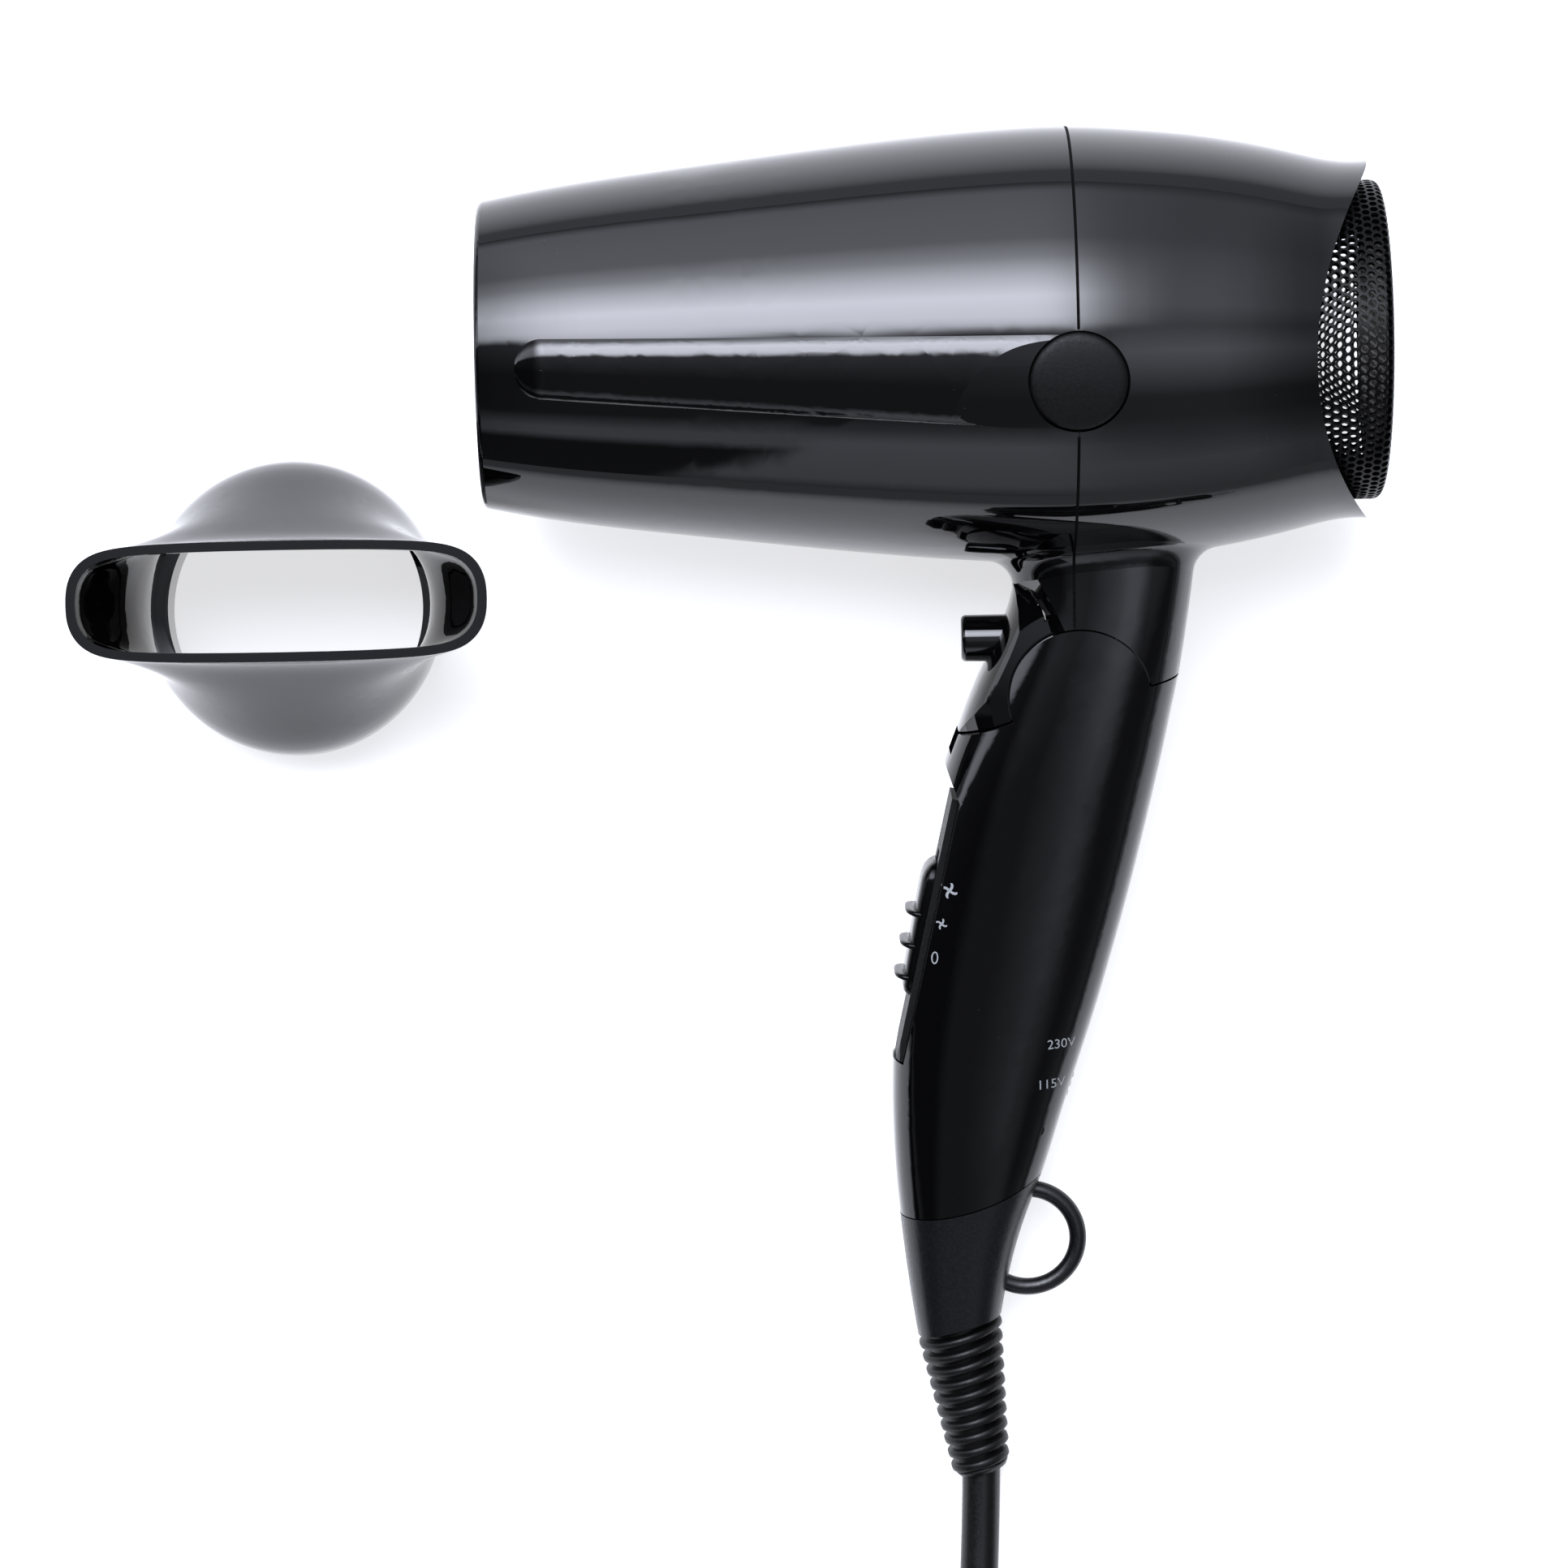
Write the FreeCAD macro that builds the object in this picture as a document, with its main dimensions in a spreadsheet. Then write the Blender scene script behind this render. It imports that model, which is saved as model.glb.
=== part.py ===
"""A folding travel hair dryer, lying on its side, with its slip-on concentrator nozzle standing beside it.

The dryer is drawn in a frame of its own: the origin is where the barrel's axis meets the joint between the
two housings, X runs back along the barrel to the air inlet, Y runs up from the handle to the barrel, and Z
runs across the mirror plane. lay_down() then puts every piece of it on its side, the handle's end resting
on the surface. The nozzle, and the part of the cord that lies on the surface, are drawn in the row's frame.
All sizes are in millimetres and degrees.
"""
import FreeCAD, Part
import math
import os
import Sketcher

V = FreeCAD.Vector
X_AXIS = V(1, 0, 0)
Y_AXIS = V(0, 1, 0)
Z_AXIS = V(0, 0, 1)

doc = FreeCAD.newDocument("travel_hair_dryer")

# ---------------------------------------------------------------- driving dimensions

DIMENSIONS = {
    # where the dryer lies in the row's frame
    "seam_x": 61.355, "seam_y": 83.15, "axis_height": 39.114, "lay_angle": 9.427,
    # barrel
    "barrel_radius": 38.8, "barrel_wall": 2.0, "barrel_front": 104.5, "barrel_rear": 53.5,
    "outlet_radius": 25.0, "outlet_depth": 10.0,
    "scoop_radius": 48.9, "scoop_centre": 90.4,
    "rib_rise": 0.9, "rib_end_radius": 5.4, "rib_start": 92.7, "rim_fillet": 1.0,
    "cap_radius": 8.7, "cap_drop": 3.0, "cap_proud": 0.3, "cap_gap": 0.15,
    "neck_fillet": 5.0,
    # hinge
    "pivot_x": 1.0, "pivot_y": -62.0, "knuckle_radius": 12.6, "knuckle_half": 11.8, "ear_inner": 12.25,
    "hinge_gap": 0.3, "pin_radius": 3.5, "pin_fit": 0.05, "bushing_radius": 5.0, "hub_radius": 7.4,
    "pin_half": 13.9, "washer_thick": 0.3,
    # handle
    "handle_wall": 2.0, "grip_power": 2.8, "slider_travel": 11.8, "slider_half": 6.0,
    # cool-shot button
    "button_radius": 4.2, "button_y": -52.5, "button_front": -19.7, "button_back": -11.6,
    "slide_fit": 0.08,
    # air path
    "motor_radius": 14.0, "motor_length": 26.0, "motor_back": 3.0, "shaft_radius": 1.15, "shaft_fit": 0.04,
    "hub_fan_radius": 13.5, "fan_radius": 33.0, "fan_depth": 13.0, "fan_start": 8.0, "fan_blades": 9,
    "sleeve_radius": 24.0, "sleeve_wall": 0.5, "sleeve_front": 93.0, "sleeve_back": 36.0,
    "grille_radius": 28.4, "grille_wall": 1.4, "grille_end": 55.5, "grille_root": 29.0,
    # nozzle
    "nozzle_x": -79.645, "nozzle_y": 39.6, "nozzle_height": 51.0, "spigot_radius": 24.7, "skirt_radius": 27.0,
    "spigot_height": 9.0, "slot_length": 74.4, "slot_width": 21.4, "nozzle_wall": 1.7,
    # cord
    "cord_radius": 3.5, "guard_start_radius": 7.9, "guard_end_radius": 5.5, "guard_rings": 10,
    "loop_radius": 9.2, "loop_wire": 1.55,
    "coil_x": 80.0, "coil_y": -193.0, "coil_inner": 26.5, "coil_outer": 47.5, "coil_height": 20.5,
    "pin_stud_radius": 2.4, "pin_spacing": 19.0, "pin_length": 19.0,
}

sheet = doc.addObject("Spreadsheet::Sheet", "sheet")
for row, (alias, number) in enumerate(DIMENSIONS.items(), start=1):
    sheet.set("A%d" % row, alias)
    sheet.set("B%d" % row, repr(number))
    sheet.setAlias("B%d" % row, alias)
doc.recompute()


def size(alias):
    """The number that the sheet holds under this alias."""
    return float(sheet.get(alias))


PIVOT = V(size("pivot_x"), size("pivot_y"), 0)
subparts = {}


# ---------------------------------------------------------------- helpers

def lay_down():
    """The placement that takes the dryer's own frame into the row's frame."""
    place = V(size("seam_x"), size("seam_y"), size("axis_height"))
    return FreeCAD.Placement(place, FreeCAD.Rotation(X_AXIS, size("lay_angle")))


def keep(obj, node, in_dryer=True):
    """Name an object as a sub-part, and lay it down with the dryer if it belongs there."""
    obj.Label = node
    if in_dryer:
        obj.Placement = lay_down().multiply(obj.Placement)
    subparts[node] = obj
    return obj


def feature(node, shape, in_dryer=True):
    """A sub-part whose shape is made by the functions below."""
    obj = doc.addObject("Part::Feature", node)
    obj.Shape = shape
    return keep(obj, node, in_dryer)


def bound(kind, name, **expressions):
    """A Part primitive whose sizes follow the sheet."""
    obj = doc.addObject(kind, name)
    for prop, expression in expressions.items():
        obj.setExpression(prop, expression)
    return obj


def cylinder(name, radius, height, base, direction=Z_AXIS):
    """A Part::Cylinder with sheet expressions for its radius and height."""
    obj = bound("Part::Cylinder", name, Radius=radius, Height=height)
    obj.Placement = FreeCAD.Placement(base, FreeCAD.Rotation(Z_AXIS, direction))
    return obj


def cut(name, base, tool):
    """A Part::Cut of two document objects."""
    obj = doc.addObject("Part::Cut", name)
    obj.Base = base
    obj.Tool = tool
    return obj


def origin_plane(body, role):
    """One of a body's own origin planes."""
    return [item for item in body.Origin.OriginFeatures if item.Role == role][0]


def padded_ring(name, plane, inner, outer, length, offset=V(), symmetric=False):
    """A PartDesign body: a ring or disc sketched on an origin plane and padded. inner may be None."""
    body = doc.addObject("PartDesign::Body", name)
    sketch = body.newObject("Sketcher::SketchObject", name + "_sketch")
    sketch.AttachmentSupport = [(origin_plane(body, plane), "")]
    sketch.MapMode = "FlatFace"
    radii = [outer] if inner is None else [outer, inner]
    for index, expression in enumerate(radii):
        start = 10.0 - 4.0 * index
        sketch.addGeometry(Part.Circle(V(), Z_AXIS, start), False)
        sketch.addConstraint(Sketcher.Constraint("Coincident", index, 3, -1, 1))
        sketch.addConstraint(Sketcher.Constraint("Radius", index, start))
        sketch.setExpression("Constraints[%d]" % (2 * index + 1), expression)
    pad = body.newObject("PartDesign::Pad", name + "_pad")
    pad.Profile = sketch
    pad.setExpression("Length", length)
    pad.Midplane = symmetric
    sketch.Visibility = False
    body.Placement = FreeCAD.Placement(offset, FreeCAD.Rotation())
    return body


def prism(points, half_height, low=None):
    """A straight-sided solid over a polygon in XY, from low (or -half_height) up to half_height in Z."""
    base = -half_height if low is None else low
    corners = [V(x, y, base) for x, y in points]
    face = Part.Face(Part.makePolygon(corners + [corners[0]]))
    return face.extrude(V(0, 0, half_height - base))


def box(x_range, y_range, z_range):
    """A box from its three ranges."""
    corner = V(x_range[0], y_range[0], z_range[0])
    spans = [high - low for low, high in (x_range, y_range, z_range)]
    return Part.makeBox(spans[0], spans[1], spans[2], corner)


def rod(start, end, radius):
    """A cylinder from one point to another."""
    return Part.makeCylinder(radius, (end - start).Length, start, end - start)


def turned_about_x(profile, smooth=True):
    """The solid that a radius profile sweeps about the barrel's axis. profile holds (x, radius) points."""
    points = [V(x, radius, 0) for x, radius in profile]
    if smooth:
        curve = Part.BSplineCurve()
        curve.interpolate(points)
        edges = [curve.toShape()]
    else:
        edges = [Part.makeLine(a, b) for a, b in zip(points, points[1:])]
    ends = [V(points[0].x, 0, 0), V(points[-1].x, 0, 0)]
    edges.append(Part.makeLine(points[-1], ends[1]))
    edges.append(Part.makeLine(ends[1], ends[0]))
    edges.append(Part.makeLine(ends[0], points[0]))
    return Part.Face(Part.Wire(edges)).revolve(V(), X_AXIS, 360)


# ---------------------------------------------------------------- barrel surface

# distance along the axis as a share of the front or rear length, and radius as a share of the largest
FRONT_PROFILE = [(1.0, 0.703), (0.85, 0.775), (0.656, 0.843), (0.43, 0.915), (0.243, 0.967), (0.1, 0.994)]
REAR_PROFILE = [(0.2, 0.985), (0.486, 0.941), (0.757, 0.864), (0.875, 0.827), (1.0, 0.82)]


def barrel_profile(inset=0.0):
    """The barrel's outline from front to rear, moved inwards by inset."""
    radius = size("barrel_radius")
    front = [(-share * size("barrel_front"), part * radius - inset) for share, part in FRONT_PROFILE]
    rear = [(share * size("barrel_rear"), part * radius - inset) for share, part in REAR_PROFILE]
    return front + [(0.0, radius - inset)] + rear


# ---------------------------------------------------------------- grip surface

# height, front edge, rear edge and half thickness of the neck and handle, from the barrel down
GRIP_STATIONS = [
    (-26.0, -10.6, 22.4, 15.2), (-36.0, -10.2, 22.4, 15.3), (-43.0, -10.2, 21.8, 15.5),
    (-50.0, -12.2, 20.8, 15.8), (-57.5, -15.7, 19.6, 16.0), (-66.0, -19.4, 17.8, 16.0),
    (-76.0, -23.2, 15.6, 15.8), (-88.0, -26.6, 12.7, 15.3), (-100.0, -29.3, 9.6, 14.8),
    (-112.0, -31.4, 6.2, 14.3), (-124.0, -32.8, 2.5, 13.7), (-136.0, -33.3, -1.5, 13.1),
    (-148.0, -33.0, -5.3, 12.4), (-158.0, -32.2, -9.1, 11.4), (-168.0, -31.1, -12.1, 10.2),
    (-178.0, -29.7, -14.1, 8.9), (-188.0, -28.0, -15.9, 7.9),
]
SECTION_POINTS = 28


def grip_section(height, front, rear, half, inset):
    """One rounded cross-section of the grip, as a closed smooth wire."""
    middle = 0.5 * (front + rear)
    across = 0.5 * (rear - front) - inset
    deep = half - inset
    power = 2.0 / size("grip_power")
    points = []
    for index in range(SECTION_POINTS):
        angle = 2.0 * math.pi * index / SECTION_POINTS
        cosine = math.cos(angle)
        sine = math.sin(angle)
        x = middle + across * math.copysign(abs(cosine) ** power, cosine)
        z = deep * math.copysign(abs(sine) ** power, sine)
        points.append(V(x, height, z))
    curve = Part.BSplineCurve()
    curve.interpolate(points, PeriodicFlag=True)
    return Part.Wire([curve.toShape()])


def grip(inset=0.0, first=0, last=len(GRIP_STATIONS)):
    """The solid of neck and handle together, moved inwards by inset."""
    wires = [grip_section(*station, inset) for station in GRIP_STATIONS[first:last]]
    return Part.makeLoft(wires, True, False)


# ---------------------------------------------------------------- regions around the hinge

# clock angles about the pivot, seen from +Z: 0 is up, and they grow clockwise
REAR_SEAM = 80.0
FRONT_SEAM = 252.0
SEAM_GAP = 0.7
FAR = 260.0


def clock(angle, radius):
    """The point at a clock angle and radius from the pivot."""
    turn = math.radians(angle)
    return (PIVOT.x + radius * math.sin(turn), PIVOT.y + radius * math.cos(turn))


def sector(start, end, radius, half_height, low=None):
    """A fan-shaped prism about the pivot between two clock angles."""
    steps = max(2, int((end - start) / 20.0))
    rim = [clock(start + (end - start) * step / steps, radius) for step in range(steps + 1)]
    return prism([(PIVOT.x, PIVOT.y)] + rim, half_height, low)


def about_pivot(radius, half, low=None):
    """A cylinder about the hinge's axis."""
    base = -half if low is None else low
    return Part.makeCylinder(radius, half - base, V(PIVOT.x, PIVOT.y, base))


# radius from the pivot and half thickness of the part of the neck that enters the handle as it folds
THROAT = [(0.0, 11.8), (12.6, 11.8), (16.0, 11.2), (19.0, 8.8), (21.0, 6.2), (22.6, 3.2)]


# the ramp where the slimmed part of the neck meets its full width: along a spoke of this clock angle, at two
# distances from the pivot, the offset across the spoke and the level of its foot and of its top
RAMP_SPOKE = 337.5
RAMP = [(8.0, (-1.2, 12.6), (3.0, 16.6)), (24.5, (-2.7, 1.6), (3.4, 16.6))]


def ramp(side):
    """The solid under the ramp on one side of the mirror plane."""
    turn = math.radians(RAMP_SPOKE)
    spoke = V(math.sin(turn), math.cos(turn), 0)
    across = V(math.cos(turn), -math.sin(turn), 0)
    wires = []
    for reach, foot, top in RAMP:
        profile = [(foot[0], 0.0), foot, top, (top[0], 30.0), (18.0, 30.0), (18.0, 0.0)]
        corners = [PIVOT + reach * spoke + offset * across + V(0, 0, side * level)
                   for offset, level in profile]
        wires.append(Part.makePolygon(corners + [corners[0]]))
    return Part.makeLoft(wires, True, True)


def throat(gap=0.0):
    """The turned solid that the front of the neck stays inside, grown by gap."""
    right = [V(PIVOT.x + radius + (gap if radius else 0), PIVOT.y, half + gap) for radius, half in THROAT]
    left = [V(point.x, point.y, -point.z) for point in reversed(right)]
    outline = Part.makePolygon(right + left + [right[0]])
    return Part.Face(outline).revolve(PIVOT, Z_AXIS, 360)


# ---------------------------------------------------------------- housings

def barrel_radius(x):
    """The barrel's radius at a distance along its axis."""
    curve = Part.BSplineCurve()
    curve.interpolate([V(along, radius, 0) for along, radius in barrel_profile()])
    line = Part.makeLine(V(x, 10.0, 0), V(x, 60.0, 0))
    return curve.toShape().distToShape(line)[1][0][0].y


RIB_SINK = 0.9
RIB_LIMIT = 39.05
RIB_STATIONS = 9


def rib(side):
    """The low rounded rib along one side of the front housing, from a round end to the side cap."""
    small = size("rib_end_radius")
    large = size("cap_radius") - 0.1
    start = -size("rib_start")
    tall = RIB_SINK + size("rib_rise")
    wires = []
    for step in range(RIB_STATIONS):
        share = step / (RIB_STATIONS - 1.0)
        x = start * (1.0 - share)
        middle = V(x, -size("cap_drop") * share, side * (barrel_radius(x) - RIB_SINK))
        half = small + (large - small) * share
        points = []
        for index in range(SECTION_POINTS):
            turn = 2.0 * math.pi * index / SECTION_POINTS
            points.append(middle + V(0, half * math.cos(turn), tall * math.sin(turn)))
        curve = Part.BSplineCurve()
        curve.interpolate(points, PeriodicFlag=True)
        wires.append(Part.Wire([curve.toShape()]))
    solid = Part.makeLoft(wires, True, False)
    # the end is half of a flat ellipsoid that follows the barrel's slope
    slope = math.degrees(math.atan((barrel_radius(start) - barrel_radius(start - 3.0)) / 3.0))
    flat = FreeCAD.Matrix()
    flat.scale(small, small, tall)
    tip = Part.makeSphere(1.0).transformGeometry(flat)
    tip.rotate(V(), Y_AXIS, -side * slope)
    tip.translate(V(start, 0, side * (barrel_radius(start) - RIB_SINK)))
    limit = rod(V(-120.0, 0, 0), V(0.0, 0, 0), RIB_LIMIT)
    return solid.fuse(tip).common(limit).cut(turned_about_x(barrel_profile(1.0)))


def housing_pair():
    """The two barrel housings with their halves of the neck, as (front, rear)."""
    wall = size("barrel_wall")
    drop = -size("cap_drop")
    body = turned_about_x(barrel_profile()).fuse(grip(0.0, 0, 8))
    joint = [edge for edge in body.Edges
             if -41.0 < edge.BoundBox.YMin and edge.BoundBox.YMax < -30.0 and edge.BoundBox.XLength > 3.0]
    body = body.makeFillet(size("neck_fillet"), joint)
    rim = [edge for edge in body.Edges if edge.BoundBox.XMax < 0.01 - size("barrel_front")]
    body = body.makeFillet(size("rim_fillet"), rim)
    body = body.fuse([rib(1), rib(-1)])
    # the neck ends at the seam, makes room for the handle's ears, and slims where it enters the handle
    below = sector(REAR_SEAM - SEAM_GAP, FRONT_SEAM, FAR, 60.0)
    ear_room = about_pivot(size("knuckle_radius") + size("hinge_gap"), 60.0)
    shoulder = sector(FRONT_SEAM - 1.0, 356.0, 23.0, 60.0).cut([throat(), ramp(1), ramp(-1)])
    neck_hollow = grip(2.2, 0, 6).cut(about_pivot(size("knuckle_radius") + 2.4, 60.0))
    body = body.cut([below, ear_room, shoulder, turned_about_x(barrel_profile(wall)), neck_hollow])
    # the knuckle that turns between the ears, open at the top for wires
    knuckle = about_pivot(size("knuckle_radius"), size("knuckle_half"))
    core = about_pivot(9.8, 9.6).cut(about_pivot(size("hub_radius"), 12.0))
    knuckle = knuckle.cut([core, about_pivot(size("bushing_radius"), 20.0)])
    bridge = about_pivot(size("knuckle_radius") + 2.6, 10.6).cut(
        about_pivot(size("knuckle_radius") - 1.0, 60.0))
    bridge = bridge.cut(sector(REAR_SEAM - SEAM_GAP, FRONT_SEAM, 40.0, 60.0)).common(grip(0.4, 2, 8))
    bridge = bridge.cut(shoulder)
    wire_slot = box((1.2, 5.0), (PIVOT.y + 7.0, PIVOT.y + 16.0), (-3.0, 3.0))
    body = body.fuse([knuckle, bridge])
    # outlet collar with a straight bore for the nozzle's spigot, and the scooped rear rim
    mouth = V(-size("barrel_front"), 0, 0)
    outlet_back = V(-size("barrel_front") + size("outlet_depth"), 0, 0)
    collar = rod(mouth, outlet_back, size("outlet_radius") + 2.5).common(turned_about_x(barrel_profile(0.5)))
    outlet = rod(mouth - 5.0 * X_AXIS, outlet_back, size("outlet_radius"))
    scoop = Part.makeCylinder(size("scoop_radius"), 120.0, V(size("scoop_centre"), 0, -60.0))
    # cool-shot button: a guided bore, a hole for its stem and the pocket of its switch
    height = size("button_y")
    guide = rod(V(-22.0, height, 0), V(-8.0, height, 0), size("button_radius") + 1.6)
    guide = guide.common(grip(0.3, 2, 8)).common(throat())
    bore = rod(V(-40.0, height, 0), V(-8.9, height, 0), size("button_radius") + size("slide_fit"))
    stem_bore = rod(V(-10.0, height, 0), V(-6.0, height, 0), 1.2)
    switch_pocket = box((-6.1, 0.6), (height - 1.9, height + 2.8), (-5.1, 5.1))
    body = body.fuse([collar, guide]).cut([outlet, scoop, bore, stem_bore, switch_pocket, wire_slot])
    # cap seats and screw bosses on both sides
    for side in (1, -1):
        across = V(0, 0, side)
        seat = Part.makeCylinder(size("cap_radius") + size("cap_gap"), 60.0, V(0, drop, 0), across)
        boss = Part.makeCylinder(4.0, 10.0, V(0, drop, side * 27.6), across)
        boss = boss.common(turned_about_x(barrel_profile(1.2)))
        screw_hole = Part.makeCylinder(1.5, 60.0, V(0, drop, side * 20.0), across)
        body = body.cut(seat.cut(turned_about_x(barrel_profile(1.2))))
        body = body.fuse(boss).cut(screw_hole)
    split = box((-200.0, -0.05), (-200.0, 200.0), (-100.0, 100.0))
    rest = box((0.05, 200.0), (-200.0, 200.0), (-100.0, 100.0))
    return body.common(split), body.common(rest)


def biggest(shape):
    """The largest solid of a shape, without slivers."""
    solids = sorted(shape.Solids, key=lambda solid: solid.Volume)
    return solids[-1]


front, rear = housing_pair()
print("housing solids", [[round(item.Volume) for item in half.Solids] for half in (front, rear)])
feature("front_housing", biggest(front))
feature("rear_housing", biggest(rear))


def side_cap(side):
    """A round cover disc over one housing screw, following the barrel's curve and a little proud of it."""
    disc = Part.makeCylinder(size("cap_radius"), 60.0, V(0, -size("cap_drop"), 0), V(0, 0, side))
    outer = turned_about_x(barrel_profile(-size("cap_proud")))
    inner = turned_about_x(barrel_profile(1.15))
    disc = disc.common(outer).cut(inner)
    return biggest(disc)


feature("side_cap_upper", side_cap(1))
feature("side_cap_lower", side_cap(-1))


# ---------------------------------------------------------------- hinge

bushing = padded_ring("bushing", "XY_Plane", "sheet.pin_radius + sheet.pin_fit", "sheet.bushing_radius",
                      "2 * sheet.knuckle_half", PIVOT, True)
keep(bushing, "hinge_bushing")
pin = cylinder("pin", "sheet.pin_radius", "2 * sheet.pin_half", V(PIVOT.x, PIVOT.y, -size("pin_half")))
keep(pin, "hinge_pin")
washers = []
for side, level in (("upper", size("knuckle_half") + 0.07),
                    ("lower", -size("knuckle_half") - 0.07 - size("washer_thick"))):
    disc = cylinder("washer_disc_" + side, "sheet.hub_radius", "sheet.washer_thick",
                    V(PIVOT.x, PIVOT.y, level))
    hole = cylinder("washer_hole_" + side, "sheet.pin_radius + 0.1", "2 * sheet.washer_thick",
                    V(PIVOT.x, PIVOT.y, level - 0.1))
    washers.append(cut("washer_" + side, disc, hole))
pair = doc.addObject("Part::Compound", "washers")
pair.Links = washers
keep(pair, "hinge_washers")


# ---------------------------------------------------------------- handle

# the slider's track: a straight line up the front of the handle, and the selector's up its back
TRACK_FOOT = V(-24.1, -90.7, 0)
TRACK_UP = V(0.2181, 0.9759, 0)
TRACK_OUT = V(-0.9759, 0.2181, 0)
BACK_FOOT = V(0.1, -131.0, 0)
BACK_UP = V(0.3162, 0.9487, 0)
BACK_OUT = V(0.9487, -0.3162, 0)
RECESS_LOW = -39.0
RECESS_HIGH = 10.4
# the flat on the handle's front, with a slope at its upper end: along the track, out from it
RECESS_OUTLINE = [(RECESS_LOW, -1.25), (RECESS_HIGH, -1.25), (RECESS_HIGH + 6.0, 2.7),
                  (RECESS_HIGH + 24.0, 20.0),
                  (RECESS_LOW, 20.0)]
STEM = (-17.5, -12.5)
SELECTOR = (-6.2, -0.4)
SELECTOR_TRAVEL = 4.0
CAP_SEAM = [(-45.0, -157.3), (-30.0, -157.4), (-22.0, -156.4), (-15.0, -154.2), (-8.0, -150.8), (2.0, -145.2)]
CAP_FOOT = [(-29.4, -180.7), (-14.0, -176.7)]
SCREW_POSTS = [(3.0, -93.0), (-7.5, -141.0)]


def on_line(foot, up, out, along, outward):
    """A point given along and out from one of the two tracks."""
    point = foot + along * up + outward * out
    return (point.x, point.y)


def track_block(along, outward, half, back=False):
    """A box in the frame of the slider's track, or of the selector's."""
    foot, up, out = (BACK_FOOT, BACK_UP, BACK_OUT) if back else (TRACK_FOOT, TRACK_UP, TRACK_OUT)
    corners = [(along[0], outward[0]), (along[1], outward[0]), (along[1], outward[1]), (along[0], outward[1])]
    return prism([on_line(foot, up, out, a, b) for a, b in corners], half)


def below_cap_seam(raise_by=0.0):
    """Everything below the curved joint between the handle and its end cap."""
    curve = Part.BSplineCurve()
    curve.interpolate([V(x, y + raise_by, -60.0) for x, y in CAP_SEAM])
    start = curve.StartPoint
    end = curve.EndPoint
    corners = [end, V(end.x, -FAR, -60.0), V(start.x, -FAR, -60.0), start]
    edges = [curve.toShape()] + [Part.makeLine(a, b) for a, b in zip(corners, corners[1:])]
    return Part.Face(Part.Wire(edges)).extrude(V(0, 0, 120.0))


def handle_shells():
    """The two half shells of the handle, as (upper, lower)."""
    wall = size("handle_wall")
    ear_hole = about_pivot(size("knuckle_radius") + size("hinge_gap"), size("ear_inner"))
    below = sector(REAR_SEAM + SEAM_GAP, FRONT_SEAM - SEAM_GAP, FAR, 60.0)
    ears = about_pivot(size("knuckle_radius"), 60.0).cut(about_pivot(40.0, size("ear_inner")))
    body = grip(0.0, 2).common(below.cut(ear_hole).fuse(ears)).cut(below_cap_seam())
    backing = track_block((RECESS_LOW - 2.0, RECESS_HIGH + 7.0), (-3.4, 20.0), 30.0)
    back_block = track_block((-9.0, 9.0), (-4.0, 20.0), 6.2, True)
    posts = [Part.makeCylinder(3.6, 60.0, V(x, y, -30.0)) for x, y in SCREW_POSTS]
    cavity = grip(wall, 3).cut([backing, back_block] + posts)
    cavity = cavity.cut(about_pivot(size("knuckle_radius") + size("hinge_gap"), 60.0))
    pocket = sector(164.0, FRONT_SEAM, 40.0, 60.0).common(throat(0.3))
    button_way = sector(203.0, FRONT_SEAM, 40.0, size("button_radius") + 0.5).common(about_pivot(25.4, 20.0))
    recess = prism([on_line(TRACK_FOOT, TRACK_UP, TRACK_OUT, a, b) for a, b in RECESS_OUTLINE], 30.0)
    slot = track_block((STEM[0] - 0.4, STEM[1] + size("slider_travel") + 0.4), (-6.0, 1.0), 2.3)
    back_recess = track_block((-7.2, 7.2), (-1.7, 20.0), 4.25, True)
    back_slot = track_block((-4.8, -2.0 + SELECTOR_TRAVEL), (-6.0, 1.0), 1.75, True)
    socket = about_pivot(size("pin_radius"), size("pin_half") + 0.05)
    body = body.cut([cavity, pocket, button_way, recess, slot, back_recess, back_slot, socket])
    for x, y in SCREW_POSTS:
        pilot = Part.makeCylinder(1.45, 30.0, V(x, y, -20.0))
        body = body.cut([pilot, Part.makeCylinder(2.9, 20.0, V(x, y, -29.0))])
    upper = body.common(box((-200, 200), (-300, 200), (0.03, 60.0)))
    lower = body.common(box((-200, 200), (-300, 200), (-60.0, -0.03)))
    return upper, lower


upper, lower = handle_shells()
print("handle solids", [[round(item.Volume) for item in half.Solids] for half in (upper, lower)])
feature("handle_shell_upper", biggest(upper))
feature("handle_shell_lower", biggest(lower))


def handle_screws():
    """The two screws that hold the half shells together, put in from the lower side."""
    screws = []
    for x, y in SCREW_POSTS:
        shank = Part.makeCylinder(1.4, 16.0, V(x, y, -10.0))
        head = Part.makeCylinder(2.7, 1.8, V(x, y, -10.8))
        drive = box((x - 2.0, x + 2.0), (y - 0.35, y + 0.35), (-11.0, -9.8))
        cross = box((x - 0.35, x + 0.35), (y - 2.0, y + 2.0), (-11.0, -9.8))
        screws.append(head.fuse(shank).cut([drive, cross]))
    return Part.makeCompound(screws)


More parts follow.
